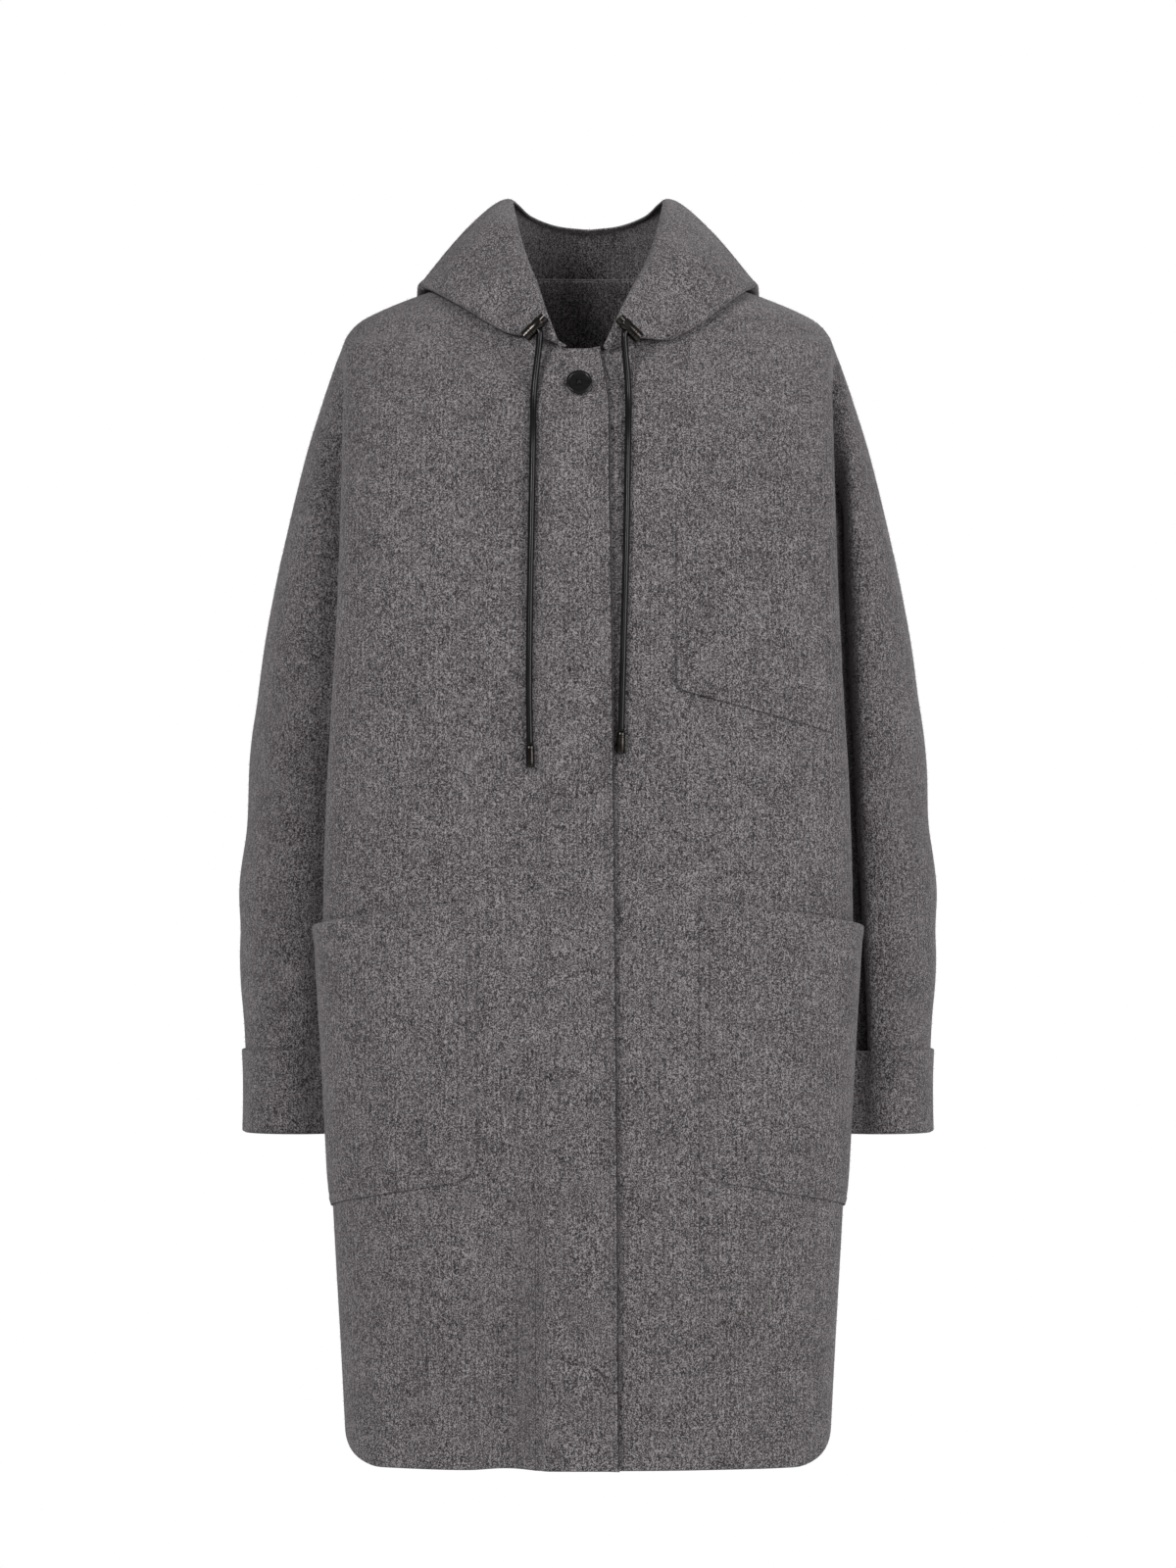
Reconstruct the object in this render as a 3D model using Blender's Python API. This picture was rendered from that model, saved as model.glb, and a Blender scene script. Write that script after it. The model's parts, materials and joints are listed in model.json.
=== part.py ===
"""A hooded wool parka, hollow as worn: knee length, drop shoulders, patch pockets, hood down.

Metres, +Z up. The front faces -Y and the wearer's left is +X. The origin is on the centre line at the
height of the shoulders, where the wearer holds the coat up.
"""

import math

import bmesh
import bpy
import numpy as np
from mathutils import Matrix, Vector

# Cloth and seams
WALL = 0.0025
SEAM_GAP = 0.0003
LAY_GAP = 0.0010

# Heights of the main lines
HEM_Z = -0.944
UNDERARM_Z = -0.285
SHOULDER_Z = -0.034
NECK_TOP_Z = 0.018
NECK_FRONT_Z = -0.049

# Cut of the body
FRONT_SQUARENESS = 2.35
BACK_SQUARENESS = 2.2
ARMHOLE_HALF_DEPTH = 0.055
WRAP_BIAS = 0.6
WRAP_LEAST = 0.002
HEM_RISE = 0.080
HEM_CURVE_LENGTH = 0.150
HEM_CURVE_FADE = 0.300
LOW_ROWS = 13
ARM_ROWS = 10
TOP_ROWS = 4
FRONT_COLUMNS = 12
BACK_COLUMNS = 20
COLUMN_CROWDING = 1.35
FOLD_FADE = 0.120
QUARTER_SAMPLES = 60
WRAP_SAMPLES = 30
NECK_SAMPLES = 40
FACING_STEP = 0.002

# Fly strip
FLY_SEAM_X = -0.0424
FLY_RISE = 0.0038
FLY_RAMP = 0.0105
UNDERLAP_X = -0.0300
FLY_COLUMNS = (0.0, 0.08, 0.16, 0.45, 0.72, 1.0)

# Sleeves and cuffs
SLEEVE_ROUNDNESS = 0.92
SLEEVE_SEAM_GAP = 0.0006
CAP_RINGS = 3
SLEEVE_RINGS = 14
WRIST_RING = 12
CUFF_TOP = 10.0
CUFF_END = 12.06
CUFF_ROWS = 4
CUFF_STEP = 0.02

# Hood
HOOD_SEAM_CLEAR = 0.0008
HOOD_CLEAR = 0.0030
HOOD_CLEAR_RUN = 0.022
HOOD_RIDGE_SPAN = 0.12
HOOD_AROUND = 22
HOOD_SAMPLES = 40
HOOD_FACING_STEP = 0.003
HOOD_FOLD_STEP = 0.03
HOOD_CENTRE_MARGIN = 0.004
HOOD_UNDER_STEPS = 5
HOOD_UNDER_CROWDING = 1.5
HOOD_ROLL_STEPS = 5
HOOD_OUTER_STEPS = 8
HOOD_CREST = np.array([0.020, 0.018])
HOOD_BACK_CREST = np.array([0.030, 0.006])
HOOD_WING_END = 0.56
HOOD_STAND = 0.55
HOOD_STAND_SPAN = (0.10, 0.40, 0.56, 0.72)
HOOD_CREST_REACH = 0.080
HOOD_FULLNESS = 0.28
HOOD_WALL = 0.0018
HOOD_FLY_END = 0.20
HOOD_FLY_SHARE = 0.80

# Button
BUTTON_RADIUS = 0.0104
BUTTON_THICKNESS = 0.0042
BUTTON_RIM = 0.0026
BUTTON_DISH = 0.0012
BUTTON_HOLE_RADIUS = 0.0010
BUTTON_HOLE_OFFSET = 0.0022
BUTTON_SIDES = 24
BUTTON_HOLE_SIDES = 8
BUTTON_X = -0.0071
BUTTON_Z = -0.0784

# Drawcords
CORD_RADIUS = 0.00275
CORD_CLEAR = 0.0013
CORD_STEP = 0.0115
CORD_SAMPLES = 12
CORD_ROUNDING = 2
TIP_RADIUS = 0.0036
TIP_LENGTH = 0.0170
LOCK_RADIUS = 0.0051
LOCK_LENGTH = 0.0235
LOCK_COLLAR = 0.0048
LOCK_BORE_RADIUS = 0.0037
LOCK_AXIS = (0.70, 0.10, -0.70)
LOCK_WAY_THROUGH = (-0.62, -0.30, -0.72)
CORD_BEHIND_LOCK = 0.0016
CORD_BELOW_LOCK = 0.0050
EDGE_BREAK = 0.0007
TURNED_SIDES = 14

GREY_WOOL = (0.115, 0.107, 0.106, 1.0)
BLACK_LEATHER = (0.012, 0.011, 0.011, 1.0)
GUNMETAL = (0.055, 0.053, 0.052, 1.0)
BLACK_HORN = (0.010, 0.010, 0.011, 1.0)


class Table:
    """Rows of sizes under named columns, read smoothly between the rows along the first column."""

    def __init__(self, columns, rows):
        self.columns = columns.split()
        self.values = np.array(rows, float)
        self.keys = self.values[:, 0]
        steps = np.diff(self.keys)
        rises = np.diff(self.values, axis=0) / steps[:, None]
        slopes = np.empty_like(self.values)
        slopes[0], slopes[-1] = rises[0], rises[-1]
        before, after = steps[:-1, None], steps[1:, None]
        slopes[1:-1] = (rises[:-1] * after + rises[1:] * before) / (before + after)
        self.slopes = slopes

    def at(self, key):
        """The sizes at one key, by column name."""
        key = min(max(key, self.keys[0]), self.keys[-1])
        low = min(int(np.searchsorted(self.keys, key, "right")) - 1, len(self.keys) - 2)
        step = self.keys[low + 1] - self.keys[low]
        t = (key - self.keys[low]) / step
        start = (2 * t**3 - 3 * t**2 + 1) * self.values[low]
        end = (3 * t**2 - 2 * t**3) * self.values[low + 1]
        leave = (t**3 - 2 * t**2 + t) * step * self.slopes[low]
        arrive = (t**3 - t**2) * step * self.slopes[low + 1]
        return dict(zip(self.columns, start + end + leave + arrive))


# Level sections of the body: the widest point of the front, how far the front and back stand out at
# the centre, the side (a seam low down, the ridge of the shoulder high up) and the back's widest point.
BODY = Table(
    "z front_w front_wy front_d side_x side_y back_w back_wy back_d",
    (
        (-0.950, 0.1940, -0.078, 0.1630, 0.186, 0.010, 0.184, 0.070, 0.1450),
        (-0.850, 0.1990, -0.082, 0.1645, 0.188, 0.010, 0.187, 0.072, 0.1440),
        (-0.740, 0.2050, -0.086, 0.1650, 0.184, 0.010, 0.185, 0.076, 0.1420),
        (-0.620, 0.2100, -0.089, 0.1625, 0.175, 0.012, 0.176, 0.080, 0.1380),
        (-0.500, 0.2130, -0.090, 0.1570, 0.161, 0.012, 0.164, 0.082, 0.1330),
        (-0.400, 0.2100, -0.090, 0.1500, 0.150, 0.012, 0.156, 0.081, 0.1290),
        (-0.285, 0.2035, -0.088, 0.1420, 0.147, 0.012, 0.154, 0.078, 0.1250),
        (-0.240, 0.2015, -0.083, 0.1370, 0.160, 0.011, 0.161, 0.078, 0.1240),
        (-0.190, 0.2000, -0.075, 0.1300, 0.176, 0.010, 0.175, 0.077, 0.1210),
        (-0.140, 0.1990, -0.064, 0.1200, 0.187, 0.009, 0.185, 0.073, 0.1170),
        (-0.095, 0.1985, -0.049, 0.1065, 0.194, 0.008, 0.193, 0.063, 0.1110),
        (-0.060, 0.1985, -0.029, 0.0910, 0.197, 0.007, 0.197, 0.043, 0.1040),
        (-0.034, 0.1980, 0.006, 0.0760, 0.198, 0.006, 0.198, 0.006, 0.0960),
        (-0.020, 0.1850, 0.008, 0.0670, 0.185, 0.008, 0.185, 0.008, 0.0920),
        (-0.010, 0.1650, 0.009, 0.0590, 0.165, 0.009, 0.165, 0.009, 0.0880),
        (0.000, 0.1400, 0.010, 0.0500, 0.140, 0.010, 0.140, 0.010, 0.0840),
        (0.010, 0.1100, 0.011, 0.0400, 0.110, 0.011, 0.110, 0.011, 0.0790),
        (0.018, 0.0900, 0.012, 0.0290, 0.090, 0.012, 0.090, 0.012, 0.0745),
    ),
)

# Half width of the neck opening at each height of the front.
NECKLINE = Table(
    "z half_width",
    (
        (-0.049, 0.018),
        (-0.044, 0.030),
        (-0.036, 0.042),
        (-0.022, 0.056),
        (-0.006, 0.067),
        (0.008, 0.075),
        (0.018, 0.080),
    ),
)

# Free edge of the fly strip.
FLY_EDGE = Table(
    "z x",
    (
        (-0.950, 0.0249),
        (-0.476, 0.0216),
        (-0.383, 0.0204),
        (-0.163, 0.0176),
        (-0.076, 0.0148),
        (-0.064, 0.0126),
        (-0.049, 0.0095),
    ),
)

# Rings of the sleeve from the armhole fold to the wrist: the inner and outer end of each ring, its
# middle and half depth front to back, and how far its front and back arch up and bulge out sideways.
SLEEVE = Table(
    "ring in_x in_z out_x out_z mid_y half_d arch bulge",
    (
        (1, 0.1470, -0.2850, 0.2145, -0.078, 0.012, 0.058, 0.004, 0.013),
        (2, 0.1470, -0.2850, 0.2310, -0.132, 0.012, 0.063, 0.010, 0.012),
        (3, 0.1470, -0.2850, 0.2500, -0.211, 0.012, 0.067, 0.016, 0.008),
        (4, 0.1530, -0.2980, 0.2630, -0.277, 0.012, 0.070, 0.012, 0.004),
        (5, 0.1560, -0.3150, 0.2700, -0.327, 0.013, 0.071, 0.006, 0.001),
        (6, 0.1600, -0.3550, 0.2760, -0.370, 0.014, 0.070, 0.000, 0.000),
        (7, 0.1660, -0.4300, 0.2812, -0.438, 0.016, 0.068, 0.000, 0.000),
        (8, 0.1740, -0.5000, 0.2870, -0.502, 0.015, 0.064, 0.000, 0.000),
        (9, 0.1830, -0.5600, 0.2840, -0.560, 0.011, 0.058, 0.000, 0.000),
        (10, 0.1900, -0.6140, 0.2798, -0.614, 0.005, 0.052, 0.000, 0.000),
        (11, 0.1935, -0.6500, 0.2788, -0.650, 0.001, 0.049, 0.000, 0.000),
        (12, 0.1950, -0.6800, 0.2792, -0.680, -0.002, 0.047, 0.000, 0.000),
        (13, 0.1960, -0.7050, 0.2796, -0.705, -0.004, 0.046, 0.000, 0.000),
    ),
)

# The hood from centre front to centre back, along the neck seam: where its roll touches the body,
# the place of its opening edge, and the radius of the roll.
HOOD = Table(
    "along touch_x touch_z edge_x edge_y edge_z roll",
    (
        (0.00, 0.0235, -0.0490, 0.0185, -0.0985, -0.034, 0.0054),
        (0.12, 0.0480, -0.0405, 0.0280, -0.0880, -0.018, 0.0057),
        (0.25, 0.0790, -0.0300, 0.0375, -0.0660, 0.005, 0.0060),
        (0.37, 0.1080, -0.0108, 0.0495, -0.0440, 0.032, 0.0066),
        (0.45, 0.1260, 0.0008, 0.0565, -0.0180, 0.058, 0.0070),
        (0.50, 0.1325, 0.0030, 0.0592, 0.0040, 0.070, 0.0074),
        (0.55, 0.1320, -0.006, 0.0605, 0.0240, 0.078, 0.0084),
        (0.66, 0.1230, -0.050, 0.0570, 0.0640, 0.080, 0.0130),
        (0.78, 0.0960, -0.125, 0.0460, 0.1000, 0.073, 0.0165),
        (0.90, 0.0500, -0.180, 0.0240, 0.1270, 0.067, 0.0180),
        (1.00, 0.0000, -0.198, 0.0000, 0.1360, 0.065, 0.0185),
    ),
)

# Patch pockets by distance from the centre front along the cloth: inner and outer edge, mouth and
# bottom heights at those edges, corner radius, and how far the mouth stands open.
POCKET_SHAPES = Table(
    "pocket inner outer mouth_in mouth_out bottom_in bottom_out corner gape",
    (
        (0, 0.0885, 0.2680, -0.4900, -0.5160, -0.7120, -0.7420, 0.018, 0.0080),
        (1, 0.0705, 0.2030, -0.1740, -0.2080, -0.3220, -0.3580, 0.008, 0.0018),
    ),
)
HIP_POCKET, CHEST_POCKET = 0, 1
GAPE_AT = 0.75
POCKET_COLUMNS = 9
POCKET_ROWS = 8

# Largest soft folds of the two fronts: where, how wide, how deep, and the heights they run between.
FRONT_FOLDS = (
    # x, half width, depth, low end, high end
    (-0.066, 0.020, 0.0035, -0.990, -0.640),
    (0.105, 0.034, 0.0025, -0.990, -0.760),
    (-0.150, 0.028, 0.0025, -0.990, -0.770),
)

# Largest soft folds across the sleeves: the ring they lie on, half width in rings, depth, and the
# turn round the sleeve where they are deepest (0 underarm, pi / 2 front, pi outside).
SLEEVE_FOLDS = (
    # ring, half width, depth, turn
    (6.9, 0.42, 0.0040, 1.9),
    (8.2, 0.40, 0.0035, 2.4),
    (9.5, 0.35, 0.0030, 1.3),
)

# Where the barrel locks sit on the hood's front corners, and how far they stand off the front.
LOCK_PLACES = {
    # side: x, z, stand off
    "left": (0.0331, -0.0320, 0.0249),
    "right": (-0.0425, -0.0310, 0.0266),
}

# Where the cords hang, top to bottom: across and up.
CORD_ROUTES = {
    "right": (
        (-0.0432, -0.0850),
        (-0.0440, -0.1300),
        (-0.0452, -0.2000),
        (-0.0464, -0.2700),
        (-0.0468, -0.3200),
        (-0.0464, -0.3500),
        (-0.0460, -0.3676),
    ),
    "left": (
        (0.0322, -0.0850),
        (0.0318, -0.1300),
        (0.0306, -0.2000),
        (0.0290, -0.2600),
        (0.0276, -0.3100),
        (0.0268, -0.3400),
        (0.0264, -0.3568),
    ),
}


def smooth_step(t):
    """0 to 1, level at both ends."""
    t = np.clip(t, 0.0, 1.0)
    return t * t * (3 - 2 * t)


def front_fold(x, z):
    """How far the soft folds push the front in at a place."""
    depth = 0.0
    for at, half_width, deep, low, high in FRONT_FOLDS:
        along = np.clip((z - low) / (high - low), 0.0, 1.0)
        fade = smooth_step(2.4 * (1 - along)) * (1 - along)
        depth = depth + deep * fade * np.exp(-(((x - at) / half_width) ** 2))
    return depth


def armhole_spread(z):
    """How far the armhole's front and back edges stand from its middle at a height."""
    share = (z - UNDERARM_Z) / (SHOULDER_Z - UNDERARM_Z)
    if share <= 0 or share >= 1:
        return 0.0
    return ARMHOLE_HALF_DEPTH * (2 * math.sqrt(share * (1 - share))) ** 0.9


def lengths_along(points):
    """The distance of each point of a line from its start."""
    steps = np.linalg.norm(np.diff(points, axis=0), axis=1)
    return np.concatenate([[0.0], np.cumsum(steps)])


def half_section(z, front):
    """The level section of the body's left front, or left back, from the centre to the side."""
    size = BODY.at(z)
    if front:
        wide, centre_y, power = size["front_w"], -size["front_d"], 2 / FRONT_SQUARENESS
        side_y = size["side_y"] - armhole_spread(z)
        wide_y = min(size["front_wy"], side_y - WRAP_LEAST)
    else:
        wide, centre_y, power = size["back_w"], size["back_d"], 2 / BACK_SQUARENESS
        side_y = size["side_y"] + armhole_spread(z)
        wide_y = max(size["back_wy"], side_y + WRAP_LEAST)
    turn = np.linspace(0, math.pi / 2, QUARTER_SAMPLES)
    quarter = np.stack(
        [wide * np.sin(turn) ** power, wide_y + (centre_y - wide_y) * np.cos(turn) ** power], 1
    )
    t = np.linspace(0, 1, WRAP_SAMPLES)[1:]
    wrap = np.stack(
        [wide + (size["side_x"] - wide) * smooth_step(t**WRAP_BIAS), wide_y + (side_y - wide_y) * t], 1
    )
    line = np.concatenate([quarter, wrap])
    return line, lengths_along(line)


def front_length(z):
    """The cloth of one front from the centre to the side at a height."""
    return half_section(z, True)[1][-1]


def front_point(z, distance):
    """The point of the outer front at a height and a distance along the cloth from the centre."""
    line, along = half_section(z, True)
    x = np.interp(abs(distance), along, line[:, 0]) * (1 if distance >= 0 else -1)
    y = np.interp(abs(distance), along, line[:, 1])
    fade = smooth_step((along[-1] - abs(distance)) / FOLD_FADE)
    return np.array([x, y + fade * front_fold(x, z), z])


def front_distance(z, x):
    """The distance along the cloth from the centre to a place across the front."""
    line, along = half_section(z, True)
    return math.copysign(np.interp(abs(x), line[:QUARTER_SAMPLES, 0], along[:QUARTER_SAMPLES]), x)


def back_point(z, share):
    """The point of the outer back at a height, from 1 at the left side through 0 to -1."""
    line, along = half_section(z, False)
    x = np.interp(abs(share) * along[-1], along, line[:, 0]) * (1 if share >= 0 else -1)
    y = np.interp(abs(share) * along[-1], along, line[:, 1])
    return np.array([x, y, z])


def facing_of(point_at, a, b, da, db):
    """The outward direction of a surface of two values, which run across and up."""
    across = point_at(a + da, b) - point_at(a - da, b)
    up = point_at(a, b + db) - point_at(a, b - db)
    normal = np.cross(across, up)
    return normal / np.linalg.norm(normal)


def front_out(z, distance, out):
    """A point of the front moved out from the cloth."""
    normal = facing_of(lambda d, h: front_point(h, d), distance, z, FACING_STEP, FACING_STEP)
    return front_point(z, distance) + normal * out


def fly_rise(x):
    """How far the fly strip stands off the front under it."""
    return FLY_RISE * smooth_step((x - FLY_SEAM_X) / FLY_RAMP)


def neck_half_width(z):
    """Half the neck opening across the front at a height."""
    return NECKLINE.at(z)["half_width"]


def neck_height(x):
    """The height of the front neckline at a place across."""
    heights = np.linspace(NECK_FRONT_Z, NECK_TOP_Z, NECK_SAMPLES)
    widths = [neck_half_width(z) for z in heights]
    return float(np.interp(abs(x), widths, heights))


def body_levels():
    """The heights of the body's rows: hem to underarm, underarm to shoulder, shoulder to neck."""
    low = np.linspace(HEM_Z, UNDERARM_Z, LOW_ROWS + 1)
    turn = np.linspace(0, math.pi, ARM_ROWS + 1)
    arm = UNDERARM_Z + (SHOULDER_Z - UNDERARM_Z) * (1 - np.cos(turn)) / 2
    top = np.linspace(SHOULDER_Z, NECK_TOP_Z, TOP_ROWS + 1)
    return np.concatenate([low, arm[1:], top[1:]])


def crowded(count):
    """Shares from 0 to 1 that crowd together near 1."""
    t = np.linspace(0, 1, count + 1)
    return 1 - (1 - t) ** COLUMN_CROWDING


def hem_lift(z, from_side):
    """How far a row near the hem rises towards the side, which gives the hem its round corners."""
    fade = np.clip(1 - (z - HEM_Z) / HEM_CURVE_FADE, 0.0, 1.0)
    return fade * HEM_RISE * smooth_step(1 - from_side / HEM_CURVE_LENGTH)


def front_rows(side, start_at):
    """Rows of points of the left front (side 1) or the right one (side -1), from a start given for each
    height as a place across towards its own side."""
    def across(z, share):
        begin = front_distance(z, start_at(z))
        return begin + share * (front_length(z) - begin)

    rows = []
    for z in body_levels():
        row = []
        for share in crowded(FRONT_COLUMNS):
            height = z + hem_lift(z, front_length(z) - across(z, share))
            row.append(front_point(height, side * across(height, share)))
        rows.append(row[::side])
    return np.array(rows)


def left_start(z):
    """Where the left front starts: under the fly strip, and at the neckline above it."""
    return UNDERLAP_X if z < NECK_FRONT_Z else neck_half_width(z)


def right_start(z):
    """Where the right front starts, measured towards its own side."""
    if z < NECK_FRONT_Z:
        return -FLY_SEAM_X
    return max(-FLY_SEAM_X, neck_half_width(z))


def back_rows():
    """Rows of points of the back, from the left side to the right."""
    shares = np.concatenate([crowded(BACK_COLUMNS // 2)[::-1], -crowded(BACK_COLUMNS // 2)[1:]])
    rows = []
    for z in body_levels():
        half = half_section(z, False)[1][-1]
        rows.append([back_point(z + hem_lift(z, (1 - abs(s)) * half), s) for s in shares])
    return np.array(rows)


def sleeve_turns():
    """The turns round a sleeve that meet the body's rows at the armhole, front side first."""
    return np.linspace(0, 2 * math.pi, 2 * ARM_ROWS + 1)[:-1]


def sleeve_fold(ring, turn):
    """How far the soft folds push the sleeve in at a place."""
    depth = 0.0
    for at, half_width, deep, where in SLEEVE_FOLDS:
        around = 0.5 + 0.5 * math.cos(turn - where)
        depth += deep * around**2 * math.exp(-(((ring - at) / half_width) ** 2))
    return depth


def armhole_point(turn):
    """The armhole fold, from the underarm over the front to the shoulder and down the back."""
    z = UNDERARM_Z + (SHOULDER_Z - UNDERARM_Z) * (1 - math.cos(turn)) / 2
    if turn <= math.pi:
        return front_point(z, front_length(z))
    return back_point(z, 1.0)


def sleeve_point(ring, turn):
    """A point of the left sleeve: ring 0 is the armhole fold, ring 12 the wrist."""
    if ring < 1:
        start, end = armhole_point(turn), sleeve_point(1, turn)
        return start + (end - start) * ring
    size = SLEEVE.at(ring)
    share = (1 - math.cos(turn)) / 2
    side = math.copysign(abs(math.sin(turn)) ** SLEEVE_ROUNDNESS, math.sin(turn))
    x = size["in_x"] + (size["out_x"] - size["in_x"]) * share + size["bulge"] * side**2
    z = size["in_z"] + (size["out_z"] - size["in_z"]) * share + size["arch"] * side**2
    y = size["mid_y"] - size["half_d"] * side
    middle_x = (size["in_x"] + size["out_x"]) / 2
    inward = np.array([middle_x - x, size["mid_y"] - y, 0.0])
    inward /= max(np.linalg.norm(inward), 1e-6)
    return np.array([x, y, z]) + inward * sleeve_fold(ring, turn)


def neck_line():
    """The neck seam of the left half, in two stretches: centre front to shoulder, on to centre back."""
    front = [
        front_point(z, front_distance(z, neck_half_width(z)))
        for z in np.linspace(NECK_FRONT_Z, NECK_TOP_Z, NECK_SAMPLES)
    ]
    back = [back_point(NECK_TOP_Z, s) for s in np.linspace(1, 0, NECK_SAMPLES)]
    return np.array(front), np.array(back)


def neck_place(along):
    """A point of the neck seam: 0 centre front, 0.5 shoulder, 1 centre back."""
    front, back = neck_line()
    line, share = (front, 2 * along) if along <= 0.5 else (back, 2 * along - 1)
    lengths = lengths_along(line)
    return np.array([np.interp(share * lengths[-1], lengths, line[:, k]) for k in range(3)])


def body_place(z, share):
    """A point of the left half of the body: 0 centre front, 1 side or shoulder ridge, 2 centre back."""
    if share <= 1:
        return front_point(z, share * front_length(z))
    return back_point(z, 2 - share)


def share_of(z, x, front):
    """The share round the left half of the body that lies at a place across."""
    line, along = half_section(z, front)
    distance = np.interp(x, line[:QUARTER_SAMPLES, 0], along[:QUARTER_SAMPLES]) / along[-1]
    return distance if front else 2 - distance


def bezier(points, count):
    """Points along one cubic curve."""
    t = np.linspace(0, 1, count)[:, None]
    a, b, c, d = points
    return (1 - t) ** 3 * a + 3 * t * (1 - t) ** 2 * b + 3 * t**2 * (1 - t) * c + t**3 * d


def resampled(line, count, crowding=1.0):
    """A line's points moved to even distances, or crowded towards its start."""
    along = lengths_along(line)
    at = along[-1] * np.linspace(0, 1, count) ** crowding
    return np.stack([np.interp(at, along, line[:, k]) for k in range(3)], 1)


def hood_touch(along):
    """Where the hood's roll touches the body."""
    size = HOOD.at(along)
    share = share_of(size["touch_z"], size["touch_x"], along <= 0.5)
    return body_place(size["touch_z"], share)


def hood_profile(along, rise):
    """One section of the hood's left half from the neck seam, out over the body, round its roll and up
    to the opening edge. Over the fly strip it lies higher by the rise."""
    size = HOOD.at(along)
    seam = neck_place(along)
    under = []
    for t in np.linspace(0, 1, HOOD_SAMPLES):
        x = seam[0] + (size["touch_x"] - seam[0]) * t
        z = seam[2] + (size["touch_z"] - seam[2]) * t
        share = share_of(z, x, along <= 0.5)
        share = min(max(share, HOOD_CENTRE_MARGIN), 2 - HOOD_CENTRE_MARGIN)
        normal = facing_of(lambda s, h: body_place(h, s), share, z, HOOD_FACING_STEP, HOOD_FACING_STEP)
        run = t * np.hypot(size["touch_x"] - seam[0], size["touch_z"] - seam[2])
        lift = smooth_step(max(run / HOOD_CLEAR_RUN, 1 - abs(along - 0.5) / HOOD_RIDGE_SPAN))
        clear = HOOD_SEAM_CLEAR + (HOOD_CLEAR - HOOD_SEAM_CLEAR) * lift
        under.append(body_place(z, share) + normal * (clear + rise))
    under = np.array(under)
    before, after = max(along - HOOD_FOLD_STEP, 0.0), min(along + HOOD_FOLD_STEP, 1.0)
    fold_line = hood_touch(after) - hood_touch(before)
    onward = np.cross(fold_line, normal)
    onward /= np.linalg.norm(onward)
    turn = np.linspace(0, math.pi, HOOD_SAMPLES)[1:, None]
    roll = size["roll"]
    around = under[-1] + roll * (onward * np.sin(turn) + normal * (1 - np.cos(turn)))
    edge = np.array([size["edge_x"], size["edge_y"], size["edge_z"]])
    reach = np.linalg.norm(edge - around[-1])
    away = np.array([edge[0], edge[1], 0.0]) / max(np.hypot(edge[0], edge[1]), 1e-6)
    grown = min(1.0, reach / HOOD_CREST_REACH) ** 2
    behind = smooth_step((along - HOOD_WING_END) / (1 - HOOD_WING_END))
    crest_out, crest_up = HOOD_CREST + (HOOD_BACK_CREST - HOOD_CREST) * behind
    crest = edge + grown * (away * crest_out + np.array([0, 0, crest_up]))
    begin, full, wane, end = HOOD_STAND_SPAN
    stand = HOOD_STAND * smooth_step((along - begin) / (full - begin)) * smooth_step((end - along) / (end - wane))
    leave = normal * math.sin(stand) - onward * math.cos(stand)
    outer = bezier((around[-1], around[-1] + leave * HOOD_FULLNESS * reach, crest, edge), HOOD_SAMPLES)
    roll_line = np.concatenate([under[-1:], around])
    parts = (
        resampled(under, HOOD_UNDER_STEPS + 1, HOOD_UNDER_CROWDING),
        resampled(roll_line, HOOD_ROLL_STEPS + 1)[1:],
        resampled(outer, HOOD_OUTER_STEPS + 1)[1:],
    )
    return np.concatenate(parts)


def hood_rows(rise_at):
    """The hood's left half as rows from the neck seam to the opening edge."""
    stations = np.linspace(0, 1, HOOD_AROUND + 1)
    profiles = [hood_profile(s, rise_at(s)) for s in stations]
    profiles[-1][:, 0] = 0.0
    return np.array(profiles).transpose(1, 0, 2)


def mirrored(rows):
    """Rows of points turned into those of the other side, still facing out."""
    return rows[:, ::-1] * np.array([-1.0, 1.0, 1.0])


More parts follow.
